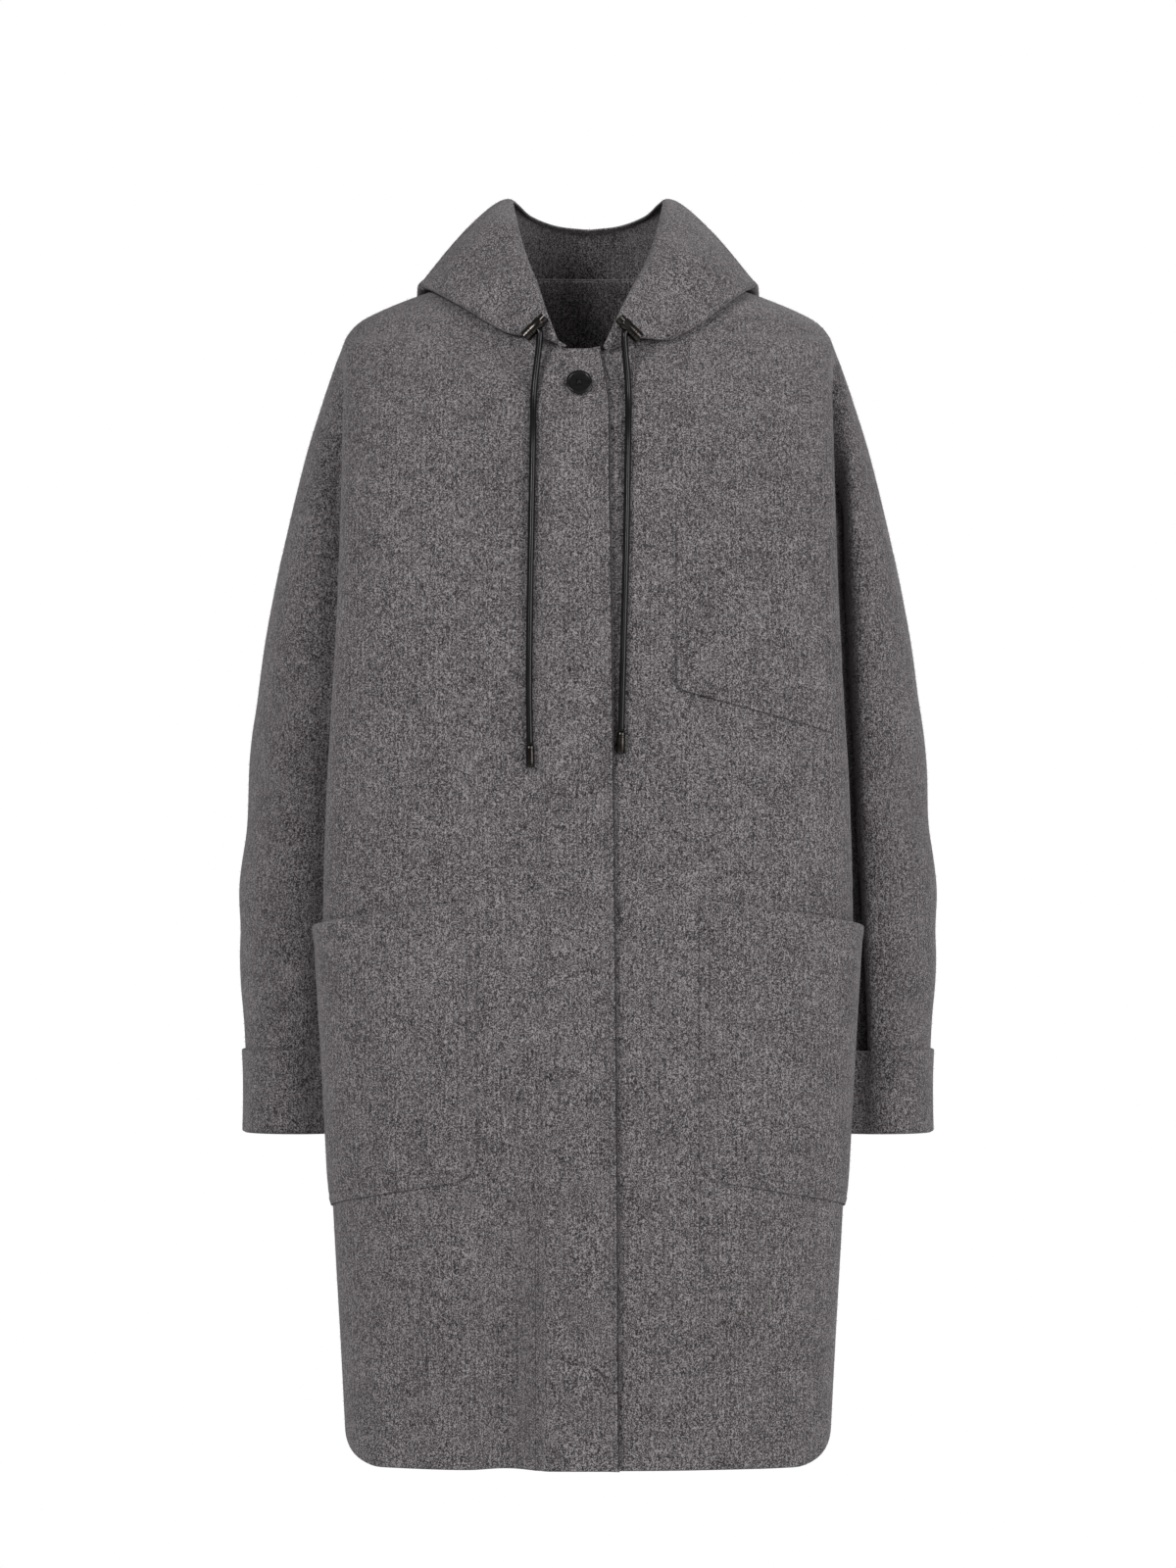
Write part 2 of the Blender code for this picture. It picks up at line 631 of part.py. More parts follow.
class Shell:
    """A thin surface of joined quads. Pieces that meet at a seam share its points."""

    def __init__(self):
        self.points = []
        self.places = {}
        self.faces = {}

    def vertex(self, point):
        """The number of a point, which is added if it is new."""
        key = tuple(round(float(c), 6) + 0.0 for c in point)
        if key not in self.places:
            self.places[key] = len(self.points)
            self.points.append(np.array(point, float))
        return self.places[key]

    def add_grid(self, piece, rows, closed=False):
        """Rows of points, bottom to top, that run from right to left as seen from inside."""
        numbers = [[self.vertex(p) for p in row] for row in rows]
        faces = self.faces.setdefault(piece, [])
        across = len(numbers[0])
        for low, high in zip(numbers, numbers[1:]):
            for i in range(across if closed else across - 1):
                j = (i + 1) % across
                corners = list(dict.fromkeys([low[i], low[j], high[j], high[i]]))
                if len(corners) > 2:
                    faces += self.halves(corners)

    def halves(self, corners):
        """A quad as two triangles that meet along its shorter diagonal; a triangle as it is."""
        if len(corners) < 4:
            return [corners]
        a, b, c, d = corners
        first = np.linalg.norm(self.points[a] - self.points[c])
        second = np.linalg.norm(self.points[b] - self.points[d])
        if first < second:
            return [[a, b, c], [a, c, d]]
        return [[a, b, d], [b, c, d]]

    def normals(self):
        """The outward direction at each point, over the corners of all the pieces that meet there."""
        total = np.zeros((len(self.points), 3))
        for faces in self.faces.values():
            for face in faces:
                ring = np.array([self.points[k] for k in face])
                ahead = np.roll(ring, -1, 0) - ring
                ahead /= np.linalg.norm(ahead, axis=1)[:, None]
                back = -np.roll(ahead, 1, 0)
                normal = np.cross(ahead[0], ahead[1])
                normal /= np.linalg.norm(normal)
                corners = np.arccos(np.clip((ahead * back).sum(1), -1.0, 1.0))
                for k, corner in zip(face, corners):
                    total[k] += normal * corner
        return total / np.linalg.norm(total, axis=1)[:, None]

    def solid(self, piece, material, wall=WALL, gap=SEAM_GAP):
        """A closed wall under one piece of the surface, half the seam gap short of each edge."""
        faces = self.faces[piece]
        used = sorted({k for face in faces for k in face})
        place = {k: i for i, k in enumerate(used)}
        points = np.array([self.points[k] for k in used])
        normals = self.normals()[used]
        faces = [[place[k] for k in face] for face in faces]
        edges = {}
        for face in faces:
            for a, b in zip(face, face[1:] + face[:1]):
                edges[(a, b)] = face
        rim = [(a, b) for a, b in edges if (b, a) not in edges]
        inward = np.zeros_like(points)
        for a, b in rim:
            run = points[b] - points[a]
            run /= np.linalg.norm(run)
            middle = points[edges[(a, b)]].mean(0) - (points[a] + points[b]) / 2
            side = middle - run * (middle @ run)
            side /= np.linalg.norm(side)
            inward[a] += side
            inward[b] += side
        lengths = np.linalg.norm(inward, axis=1)
        moved = lengths > 1e-9
        points[moved] += inward[moved] / lengths[moved, None] * gap / 2
        count = len(points)
        under = points - normals * wall
        shut = [list(face) for face in faces]
        shut += [[k + count for k in reversed(face)] for face in faces]
        for a, b in rim:
            low, high = (a, b) if used[a] < used[b] else (b, a)
            shut.append([b, a, low + count])
            shut.append([high, a + count, b + count])
        return mesh_object(piece, np.concatenate([points, under]), shut, material)


def mesh_object(name, points, faces, material):
    """A named object of one mesh, shaded smooth except at sharp edges."""
    mesh = bpy.data.meshes.new(name)
    mesh.from_pydata([tuple(p) for p in points], [], faces)
    mesh.update()
    mesh.shade_smooth()
    mesh.set_sharp_from_angle(angle=math.radians(40))
    mesh.materials.append(material)
    made = bpy.data.objects.new(name, mesh)
    bpy.context.scene.collection.objects.link(made)
    return made


def finish(name, colour, roughness, metallic=0.0):
    """A plain material of one colour."""
    material = bpy.data.materials.new(name)
    material.use_nodes = True
    shader = material.node_tree.nodes["Principled BSDF"]
    shader.inputs["Base Color"].default_value = colour
    shader.inputs["Roughness"].default_value = roughness
    shader.inputs["Metallic"].default_value = metallic
    return material


def sleeve_grid(first, last, steps):
    """Rings of the left sleeve from the lower one up, with closed turns."""
    rings = np.linspace(last, first, steps + 1)
    return np.array([[sleeve_point(r, t) for t in sleeve_turns()] for r in rings])


def cap_point(ring, turn):
    """A point of the cap over the left arm, whose rings run together next to the underarm."""
    beside_underarm = math.cos(turn) > math.cos(1.5 * math.pi / ARM_ROWS)
    return sleeve_point(0 if beside_underarm and ring < CAP_RINGS else ring, turn)


def build_body(wool):
    """Fronts, back and sleeves, which share their seams."""
    shell = Shell()
    shell.add_grid("front_left", front_rows(1, left_start))
    shell.add_grid("front_right", front_rows(-1, right_start))
    shell.add_grid("back", back_rows())
    turns = sleeve_turns()
    front_turns = turns[: ARM_ROWS + 1]
    back_turns = np.concatenate([turns[ARM_ROWS:], [0.0]])[::-1]
    rings = range(CAP_RINGS + 1)
    cap_front = np.array([[cap_point(r, t) for r in rings] for t in front_turns])
    cap_back = np.array([[cap_point(r, t) for r in rings[::-1]] for t in back_turns])
    shell.add_grid("front_left", cap_front)
    shell.add_grid("back", cap_back)
    shell.add_grid("front_right", mirrored(cap_front))
    shell.add_grid("back", mirrored(cap_back))
    sleeve = sleeve_grid(CAP_RINGS, WRIST_RING, SLEEVE_RINGS)
    shell.add_grid("sleeve_left", sleeve, closed=True)
    shell.add_grid("sleeve_right", mirrored(sleeve), closed=True)
    for piece in ("front_left", "front_right", "back"):
        shell.solid(piece, wool)
    for piece in ("sleeve_left", "sleeve_right"):
        shell.solid(piece, wool, gap=SLEEVE_SEAM_GAP)


def build_fly(wool):
    """The fly strip, which laps over the left front."""
    shell = Shell()
    rows = []
    levels = [z for z in body_levels() if z < NECK_FRONT_Z]
    for level in levels + [NECK_FRONT_Z]:
        free_edge = FLY_EDGE.at(level)["x"]
        row = []
        for share in FLY_COLUMNS:
            x = FLY_SEAM_X + (free_edge - FLY_SEAM_X) * share
            z = neck_height(x) if level == NECK_FRONT_Z else level
            row.append(front_out(z, front_distance(z, x), fly_rise(x)))
        rows.append(row)
    shell.add_grid("placket", np.array(rows))
    return shell.solid("placket", wool)


def build_cuffs(wool):
    """Turned-back cuffs, which lie on the sleeve ends."""
    out = WALL + SEAM_GAP
    rows = []
    for ring in np.linspace(CUFF_END, CUFF_TOP, CUFF_ROWS + 1):
        row = []
        for turn in sleeve_turns():
            normal = facing_of(lambda t, r: sleeve_point(-r, t), turn, -ring, CUFF_STEP, CUFF_STEP)
            row.append(sleeve_point(ring, turn) + normal * out)
        rows.append(row)
    left = np.array(rows)
    shell = Shell()
    shell.add_grid("cuff_left", left, closed=True)
    shell.add_grid("cuff_right", mirrored(left), closed=True)
    shell.solid("cuff_left", wool)
    shell.solid("cuff_right", wool)


def build_hood(wool):
    """The two halves of the hood, worn down, with a seam at the centre back."""
    def right_rise(along):
        x = -HOOD.at(along)["touch_x"] * HOOD_FLY_SHARE
        return fly_rise(x) if along < HOOD_FLY_END else 0.0

    shell = Shell()
    shell.add_grid("hood_left", hood_rows(lambda along: 0.0))
    shell.add_grid("hood_right", mirrored(hood_rows(right_rise)))
    shell.solid("hood_left", wool, HOOD_WALL)
    shell.solid("hood_right", wool, HOOD_WALL)


def pocket_point(size, share, up):
    """A place on a pocket as distance from the centre and height, and how far it stands open."""
    width = size["outer"] - size["inner"]
    distance = size["inner"] + share * width
    corner = size["corner"]
    from_edge = min(share, 1 - share) * width
    inside = max(corner - from_edge, 0.0)
    rounding = corner - math.sqrt(corner**2 - inside**2)
    bottom = size["bottom_in"] + (size["bottom_out"] - size["bottom_in"]) * share + rounding
    mouth = size["mouth_in"] + (size["mouth_out"] - size["mouth_in"]) * share
    before, after = 2 * GAPE_AT, 2 * (1 - GAPE_AT)
    peak = GAPE_AT**before * (1 - GAPE_AT) ** after
    gape = size["gape"] * up**2 * share**before * (1 - share) ** after / peak
    return distance, bottom + (mouth - bottom) * up, gape


def build_pocket(name, shape, wool, side):
    """A patch pocket on the left front (side 1) or the right one (side -1), made from its points."""
    size = POCKET_SHAPES.at(shape)
    rows = []
    for up in np.linspace(0, 1, POCKET_ROWS + 1):
        row = []
        for share in np.linspace(0, 1, POCKET_COLUMNS + 1):
            distance, z, gape = pocket_point(size, share, up)
            row.append(front_out(z, side * distance, LAY_GAP + WALL + gape))
        rows.append(row[::side])
    shell = Shell()
    shell.add_grid(name, np.array(rows))
    return shell.solid(name, wool)


def turned(name, profile, sides, material):
    """A closed body turned about +Z from (radius, height) points that run up its outer side."""
    made = bmesh.new()
    rings = []
    for radius, height in profile:
        turns = [2 * math.pi * k / sides for k in range(sides)]
        rings.append([made.verts.new((radius * math.cos(t), radius * math.sin(t), height)) for t in turns])
    for low, high in zip(rings, rings[1:]):
        for k in range(sides):
            made.faces.new((low[k], low[(k + 1) % sides], high[(k + 1) % sides], high[k]))
    made.faces.new(rings[0][::-1])
    made.faces.new(rings[-1])
    mesh = bpy.data.meshes.new(name)
    made.to_mesh(mesh)
    made.free()
    mesh.shade_smooth()
    mesh.set_sharp_from_angle(angle=math.radians(35))
    mesh.materials.append(material)
    result = bpy.data.objects.new(name, mesh)
    bpy.context.scene.collection.objects.link(result)
    return result


def aim(made, place, axis):
    """Puts a turned body's base at a place with its own +Z along an axis."""
    turn = Vector((0, 0, 1)).rotation_difference(Vector(axis))
    made.matrix_world = Matrix.Translation(Vector(place)) @ turn.to_matrix().to_4x4()
    bpy.context.view_layer.update()


def cut(target, cutters):
    """Takes the cutters' shapes out of a body."""
    for cutter in cutters:
        cutter.hide_render = True
        cutter.display_type = "WIRE"
        change = target.modifiers.new("cut", "BOOLEAN")
        change.operation = "DIFFERENCE"
        change.solver = "EXACT"
        change.object = cutter


def build_button(horn):
    """A dished four-hole button, sewn through the fly strip."""
    face = BUTTON_THICKNESS - BUTTON_DISH
    rim_in = BUTTON_RADIUS - BUTTON_RIM
    profile = (
        (BUTTON_RADIUS * 0.80, 0.0),
        (BUTTON_RADIUS, BUTTON_THICKNESS * 0.42),
        (BUTTON_RADIUS, BUTTON_THICKNESS * 0.70),
        (BUTTON_RADIUS - BUTTON_RIM * 0.35, BUTTON_THICKNESS),
        (rim_in + BUTTON_RIM * 0.3, BUTTON_THICKNESS),
        (rim_in - BUTTON_RIM * 0.25, face),
    )
    button = turned("button", profile, BUTTON_SIDES, horn)
    place = front_out(BUTTON_Z, front_distance(BUTTON_Z, BUTTON_X), fly_rise(BUTTON_X) + LAY_GAP / 2)
    normal = front_out(BUTTON_Z, front_distance(BUTTON_Z, BUTTON_X), 1.0) - front_point(
        BUTTON_Z, front_distance(BUTTON_Z, BUTTON_X)
    )
    holes = []
    for k in range(4):
        turn = math.pi / 4 + k * math.pi / 2
        hole_profile = ((BUTTON_HOLE_RADIUS, -BUTTON_THICKNESS), (BUTTON_HOLE_RADIUS, 2 * BUTTON_THICKNESS))
        hole = turned(f"button_hole_{k}", hole_profile, BUTTON_HOLE_SIDES, horn)
        hole.parent = button
        hole.location = (BUTTON_HOLE_OFFSET * math.cos(turn), BUTTON_HOLE_OFFSET * math.sin(turn), 0)
        holes.append(hole)
    aim(button, place, normal)
    cut(button, holes)


def smooth_route(points, step):
    """Points at even steps along a smooth curve through a route, which starts at its second point and
    leaves it in line with the first."""
    ends = np.concatenate([points, [2 * points[-1] - points[-2]]])
    fine = []
    for a, b, c, d in zip(ends, ends[1:], ends[2:], ends[3:]):
        for t in np.linspace(0, 1, CORD_SAMPLES, endpoint=False):
            bend = 2 * b + (c - a) * t + (2 * a - 5 * b + 4 * c - d) * t**2
            fine.append((bend + (3 * b - a - 3 * c + d) * t**3) / 2)
    fine = np.array(fine + [points[-1]])
    return resampled(fine, int(round(lengths_along(fine)[-1] / step)) + 1)


def cord_route(side):
    """The centre of a cord down the front that it lies on."""
    route = []
    for x, z in CORD_ROUTES[side]:
        rise = fly_rise(x) if x < FLY_EDGE.at(z)["x"] else 0.0
        out = CORD_RADIUS + CORD_CLEAR + rise
        route.append(front_out(z, front_distance(z, x), out))
    return np.array(route)


def build_cord(side, leather, metal, lock_place, lock_axis, along):
    """A leather cord, its metal end, and the barrel lock that it passes through at the hood."""
    start = lock_place - along * (LOCK_RADIUS + CORD_BEHIND_LOCK)
    through = lock_place + along * (LOCK_RADIUS + CORD_BELOW_LOCK)
    route = np.concatenate([[start, through], cord_route(side)])
    points = np.concatenate([[start], smooth_route(route, CORD_STEP)])
    curve = bpy.data.curves.new(f"cord_{side}", "CURVE")
    curve.dimensions = "3D"
    curve.bevel_depth = CORD_RADIUS
    curve.bevel_resolution = CORD_ROUNDING
    curve.use_fill_caps = True
    spline = curve.splines.new("POLY")
    spline.points.add(len(points) - 1)
    for knot, point in zip(spline.points, points):
        knot.co = (*point, 1.0)
    curve.materials.append(leather)
    bpy.context.scene.collection.objects.link(bpy.data.objects.new(f"cord_{side}", curve))

    end_way = points[-1] - points[-2]
    end_way /= np.linalg.norm(end_way)
    tip_profile = (
        (TIP_RADIUS * 0.86, 0.0),
        (TIP_RADIUS, EDGE_BREAK),
        (TIP_RADIUS, TIP_LENGTH - EDGE_BREAK),
        (TIP_RADIUS * 0.86, TIP_LENGTH),
    )
    tip = turned(f"cord_tip_{side}", tip_profile, TURNED_SIDES, metal)
    aim(tip, points[-1] + end_way * SEAM_GAP, end_way)

    half = LOCK_LENGTH / 2
    lock_profile = (
        (LOCK_RADIUS * 0.72, -half),
        (LOCK_RADIUS * 0.90, -half + EDGE_BREAK),
        (LOCK_RADIUS * 0.90, -half + LOCK_COLLAR),
        (LOCK_RADIUS, -half + LOCK_COLLAR + EDGE_BREAK),
        (LOCK_RADIUS, half - EDGE_BREAK),
        (LOCK_RADIUS * 0.84, half),
    )
    lock = turned(f"cord_lock_{side}", lock_profile, TURNED_SIDES, metal)
    aim(lock, lock_place, lock_axis)
    bore_profile = ((LOCK_BORE_RADIUS, -LOCK_LENGTH), (LOCK_BORE_RADIUS, LOCK_LENGTH))
    bore = turned(f"cord_lock_bore_{side}", bore_profile, TURNED_SIDES, metal)
    aim(bore, lock_place, along)
    cut(lock, [bore])


def build_cords(leather, metal):
    """Both drawcords, mirrored where they leave the hood."""
    for side, (x, z, stand_off) in LOCK_PLACES.items():
        y = front_point(z, front_distance(z, x))[1] - stand_off
        own_side = np.array([math.copysign(1.0, x), 1.0, 1.0])
        axis = own_side * LOCK_AXIS
        axis /= np.linalg.norm(axis)
        along = own_side * LOCK_WAY_THROUGH
        along -= axis * (along @ axis)
        along /= np.linalg.norm(along)
        build_cord(side, leather, metal, np.array([x, y, z]), axis, along)


def main():
    """Builds every piece of the coat."""
    for old in list(bpy.data.objects):
        bpy.data.objects.remove(old)
    wool = finish("grey_wool", GREY_WOOL, 0.95)
    leather = finish("black_leather", BLACK_LEATHER, 0.42)
    metal = finish("gunmetal", GUNMETAL, 0.30, 1.0)
    horn = finish("black_horn", BLACK_HORN, 0.35)
    build_body(wool)
    build_fly(wool)
    build_cuffs(wool)
    build_hood(wool)
    build_pocket("pocket_left", HIP_POCKET, wool, 1)
    build_pocket("pocket_right", HIP_POCKET, wool, -1)
    build_pocket("chest_pocket", CHEST_POCKET, wool, 1)
    build_button(horn)
    build_cords(leather, metal)


main()
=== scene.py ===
"""The looks of a hooded wool parka, hollow as worn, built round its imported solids.

Metres, +Z up. The front faces -Y and the wearer's left is +X. Each cloth piece is cut from the same sizes as
its solid, on a finer grid, with soft creases, rounded edges, sewing and a short nap.
"""

import json
import logging
import math
from collections.abc import Sequence
from dataclasses import dataclass, field
from enum import Enum

import bpy
import numpy as np
from bpy.types import Material, Mesh, Node, NodeSocket, NodeTree, Object
from mathutils import Matrix, Vector


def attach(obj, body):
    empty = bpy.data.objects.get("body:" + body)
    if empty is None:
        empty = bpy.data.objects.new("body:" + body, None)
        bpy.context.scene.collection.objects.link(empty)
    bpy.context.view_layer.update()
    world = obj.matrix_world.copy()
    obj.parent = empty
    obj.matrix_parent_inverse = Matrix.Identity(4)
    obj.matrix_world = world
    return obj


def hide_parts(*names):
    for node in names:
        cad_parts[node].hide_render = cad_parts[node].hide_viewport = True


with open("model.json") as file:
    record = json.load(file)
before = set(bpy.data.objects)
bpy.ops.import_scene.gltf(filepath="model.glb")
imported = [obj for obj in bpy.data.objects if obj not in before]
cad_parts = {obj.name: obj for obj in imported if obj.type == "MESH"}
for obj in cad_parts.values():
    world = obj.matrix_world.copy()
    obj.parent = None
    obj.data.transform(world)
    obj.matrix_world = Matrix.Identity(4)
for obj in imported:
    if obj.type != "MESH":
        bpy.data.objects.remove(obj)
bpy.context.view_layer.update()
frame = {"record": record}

log = logging.getLogger("parka")

Array = np.ndarray
Numbers = Array | float
Colour = tuple[float, float, float]

BODY = "root"
WOOL_SLOT, LEATHER_SLOT, METAL_SLOT, HORN_SLOT = (m["slot"] for m in frame["record"]["materials"])
CLOTH_MAP = "cloth"
# Name of the attribute that holds painted shade: how much darker a cloth's free edge is drawn, for the shadow
# beneath a raised edge.
PAINTED_EDGE_SHADE = "painted_edge_shade"
BAKE_MAP = "OFBake"


class Facing(Enum):
    """The side of the coat that a crease is pressed into."""

    FRONT = -1.0
    BACK = 1.0


class Side(Enum):
    """The wearer's left or right, with the way that it lies along X."""

    LEFT = 1
    RIGHT = -1

    def named(self, stem: str) -> str:
        """The name of a piece on this side."""
        return f"{stem}_{self.name.lower()}"


def smooth_step(t: Numbers) -> Array:
    """0 to 1, level at both ends."""
    t = np.clip(t, 0.0, 1.0)
    return t * t * (3 - 2 * t)


def unit(vectors: Array) -> Array:
    """Vectors brought to a length of 1."""
    return vectors / np.maximum(np.linalg.norm(vectors, axis=-1, keepdims=True), 1e-12)


def distances_along(grid: Array, axis: int = 0) -> Array:
    """The distance of each point of a line, or of each line of a grid, from its start."""
    steps = np.linalg.norm(np.diff(grid, axis=axis), axis=-1)
    return np.insert(np.cumsum(steps, axis=axis), 0, 0.0, axis=axis)


def resampled(line: Array, count: int) -> Array:
    """A line's points moved to even distances.

    Args:
        line: points along the line.
        count: how many points to return.

    Returns:
        The new points.
    """
    along = distances_along(line)
    at = np.linspace(0, along[-1], count)
    return np.stack([np.interp(at, along, line[:, k]) for k in range(line.shape[1])], 1)


def bezier(points: Sequence[Array], count: int) -> Array:
    """Points along one cubic curve with four control points.

    Args:
        points: the control points.
        count: how many points to give.

    Returns:
        The points, from the first control point to the last.
    """
    t = np.linspace(0, 1, count)[:, None]
    a, b, c, d = points
    return (1 - t) ** 3 * a + 3 * t * (1 - t) ** 2 * b + 3 * t**2 * (1 - t) * c + t**3 * d


def circle(sides: int) -> Array:
    """Points round a circle of radius 1."""
    turns = np.linspace(0, 2 * math.pi, sides, endpoint=False)
    return np.stack([np.cos(turns), np.sin(turns)], 1)


def mirrored(rows: Array) -> Array:
    """A grid of points turned into that of the other side, still facing out."""
    return rows[:, ::-1] * np.array([-1.0, 1.0, 1.0])


def fine_at_ends(length: float, fine: float, coarse: float, band: float) -> Array:
    """Shares from 0 to 1 along a length, close together in a band at each end.

    Args:
        length: the length that the shares divide.
        fine: spacing in the bands.
        coarse: spacing between them.
        band: length of each band.

    Returns:
        The shares, rising.
    """
    first = np.arange(0, band, fine)
    middle = np.linspace(band, length - band, max(2, round((length - 2 * band) / coarse)))
    return np.concatenate([first, middle, length - first[::-1]]) / length


class SizeTable:
    """Rows of sizes under named columns, read smoothly between the rows along the first column."""

    def __init__(self, columns: str, rows: Sequence[Sequence[float]]) -> None:
        """Keeps the rows and works out a slope for each.

        Args:
            columns: names of the columns, apart by spaces.
            rows: the sizes.
        """
        self.columns = columns.split()
        self.values = np.array(rows, float)
        self.keys = self.values[:, 0]
        steps = np.diff(self.keys)
        rises = np.diff(self.values, axis=0) / steps[:, None]
        before, after = steps[:-1, None], steps[1:, None]
        inner = (rises[:-1] * after + rises[1:] * before) / (before + after)
        self.slopes = np.concatenate([rises[:1], inner, rises[-1:]])

    def at(self, key: Numbers) -> dict[str, Array]:
        """The sizes at one key or at many.

        Args:
            key: places along the first column.

        Returns:
            An array for each column name.
        """
        key = np.clip(np.asarray(key, float), self.keys[0], self.keys[-1])
        low = np.clip(np.searchsorted(self.keys, key, "right") - 1, 0, len(self.keys) - 2)
        step = self.keys[low + 1] - self.keys[low]
        t = ((key - self.keys[low]) / step)[..., None]
        step = step[..., None]
        read = (2 * t**3 - 3 * t**2 + 1) * self.values[low] + (3 * t**2 - 2 * t**3) * self.values[low + 1]
        read = read + (t**3 - 2 * t**2 + t) * step * self.slopes[low]
        read = read + (t**3 - t**2) * step * self.slopes[low + 1]
        return {name: read[..., k] for k, name in enumerate(self.columns)}


# Level sections of the body: the widest point of the front, how far the front and back stand out at
# the centre, the side (a seam low down, the ridge of the shoulder high up) and the back's widest point.
BODY_SECTIONS = SizeTable(
    "z front_w front_wy front_d side_x side_y back_w back_wy back_d",
    (
        (-0.950, 0.1940, -0.078, 0.1630, 0.186, 0.010, 0.184, 0.070, 0.1450),
        (-0.850, 0.1990, -0.082, 0.1645, 0.188, 0.010, 0.187, 0.072, 0.1440),
        (-0.740, 0.2050, -0.086, 0.1650, 0.184, 0.010, 0.185, 0.076, 0.1420),
        (-0.620, 0.2100, -0.089, 0.1625, 0.175, 0.012, 0.176, 0.080, 0.1380),
        (-0.500, 0.2130, -0.090, 0.1570, 0.161, 0.012, 0.164, 0.082, 0.1330),
        (-0.400, 0.2100, -0.090, 0.1500, 0.150, 0.012, 0.156, 0.081, 0.1290),
        (-0.285, 0.2035, -0.088, 0.1420, 0.147, 0.012, 0.154, 0.078, 0.1250),
        (-0.240, 0.2015, -0.083, 0.1370, 0.160, 0.011, 0.161, 0.078, 0.1240),
        (-0.190, 0.2000, -0.075, 0.1300, 0.176, 0.010, 0.175, 0.077, 0.1210),
        (-0.140, 0.1990, -0.064, 0.1200, 0.187, 0.009, 0.185, 0.073, 0.1170),
        (-0.095, 0.1985, -0.049, 0.1065, 0.194, 0.008, 0.193, 0.063, 0.1110),
        (-0.060, 0.1985, -0.029, 0.0910, 0.197, 0.007, 0.197, 0.043, 0.1040),
        (-0.034, 0.1980, 0.006, 0.0760, 0.198, 0.006, 0.198, 0.006, 0.0960),
        (-0.020, 0.1850, 0.008, 0.0670, 0.185, 0.008, 0.185, 0.008, 0.0920),
        (-0.010, 0.1650, 0.009, 0.0590, 0.165, 0.009, 0.165, 0.009, 0.0880),
        (0.000, 0.1400, 0.010, 0.0500, 0.140, 0.010, 0.140, 0.010, 0.0840),
        (0.010, 0.1100, 0.011, 0.0400, 0.110, 0.011, 0.110, 0.011, 0.0790),
        (0.018, 0.0900, 0.012, 0.0290, 0.090, 0.012, 0.090, 0.012, 0.0745),
    ),
)

# Half width of the neck opening at each height of the front.
NECKLINE = SizeTable(
    "z half_width",
    (
        (-0.049, 0.018),
        (-0.044, 0.030),
        (-0.036, 0.042),
        (-0.022, 0.056),
        (-0.006, 0.067),
        (0.008, 0.075),
        (0.018, 0.080),
    ),
)

# Free edge of the fly strip.
FLY_EDGE = SizeTable(
    "z x",
    (
        (-0.950, 0.0249),
        (-0.476, 0.0216),
        (-0.383, 0.0204),
        (-0.163, 0.0176),
        (-0.076, 0.0148),
        (-0.064, 0.0126),
        (-0.049, 0.0095),
    ),
)

# Rings of the sleeve from the armhole fold to the wrist: the inner and outer end of each ring, its
# middle and half depth front to back, and how far its front and back arch up and bulge out sideways.
SLEEVE_RINGS = SizeTable(
    "ring in_x in_z out_x out_z mid_y half_d arch bulge",
    (
        (1, 0.1470, -0.2850, 0.2145, -0.078, 0.012, 0.058, 0.004, 0.013),
        (2, 0.1470, -0.2850, 0.2310, -0.132, 0.012, 0.063, 0.010, 0.012),
        (3, 0.1470, -0.2850, 0.2500, -0.211, 0.012, 0.067, 0.016, 0.008),
        (4, 0.1530, -0.2980, 0.2630, -0.277, 0.012, 0.070, 0.012, 0.004),
        (5, 0.1560, -0.3150, 0.2700, -0.327, 0.013, 0.071, 0.006, 0.001),
        (6, 0.1600, -0.3550, 0.2760, -0.370, 0.014, 0.070, 0.000, 0.000),
        (7, 0.1660, -0.4300, 0.2812, -0.438, 0.016, 0.068, 0.000, 0.000),
        (8, 0.1740, -0.5000, 0.2870, -0.502, 0.015, 0.064, 0.000, 0.000),
        (9, 0.1830, -0.5600, 0.2840, -0.560, 0.011, 0.058, 0.000, 0.000),
        (10, 0.1900, -0.6140, 0.2798, -0.614, 0.005, 0.052, 0.000, 0.000),
        (11, 0.1935, -0.6500, 0.2788, -0.650, 0.001, 0.049, 0.000, 0.000),
        (12, 0.1950, -0.6800, 0.2792, -0.680, -0.002, 0.047, 0.000, 0.000),
        (13, 0.1960, -0.7050, 0.2796, -0.705, -0.004, 0.046, 0.000, 0.000),
    ),
)

# The hood from centre front to centre back, along the neck seam: where its roll touches the body,
# the place of its opening edge, and the radius of the roll.
HOOD_STATIONS = SizeTable(
    "along touch_x touch_z edge_x edge_y edge_z roll",
    (
        (0.00, 0.0215, -0.0490, 0.0170, -0.0925, -0.0460, 0.0022),
        (0.12, 0.0480, -0.0450, 0.0285, -0.0900, -0.0190, 0.0030),
        (0.25, 0.0790, -0.0300, 0.0380, -0.0660, 0.005, 0.0033),
        (0.37, 0.1080, -0.0108, 0.0495, -0.0440, 0.032, 0.0036),
        (0.45, 0.1260, 0.0008, 0.0565, -0.0180, 0.058, 0.0039),
        (0.50, 0.1325, 0.0030, 0.0592, 0.0040, 0.070, 0.0042),
        (0.55, 0.1320, -0.006, 0.0605, 0.0240, 0.078, 0.0060),
        (0.66, 0.1230, -0.050, 0.0570, 0.0640, 0.080, 0.0130),
        (0.78, 0.0960, -0.125, 0.0460, 0.1000, 0.073, 0.0165),
        (0.90, 0.0500, -0.180, 0.0240, 0.1270, 0.067, 0.0180),
        (1.00, 0.0000, -0.198, 0.0000, 0.1360, 0.065, 0.0185),
    ),
)


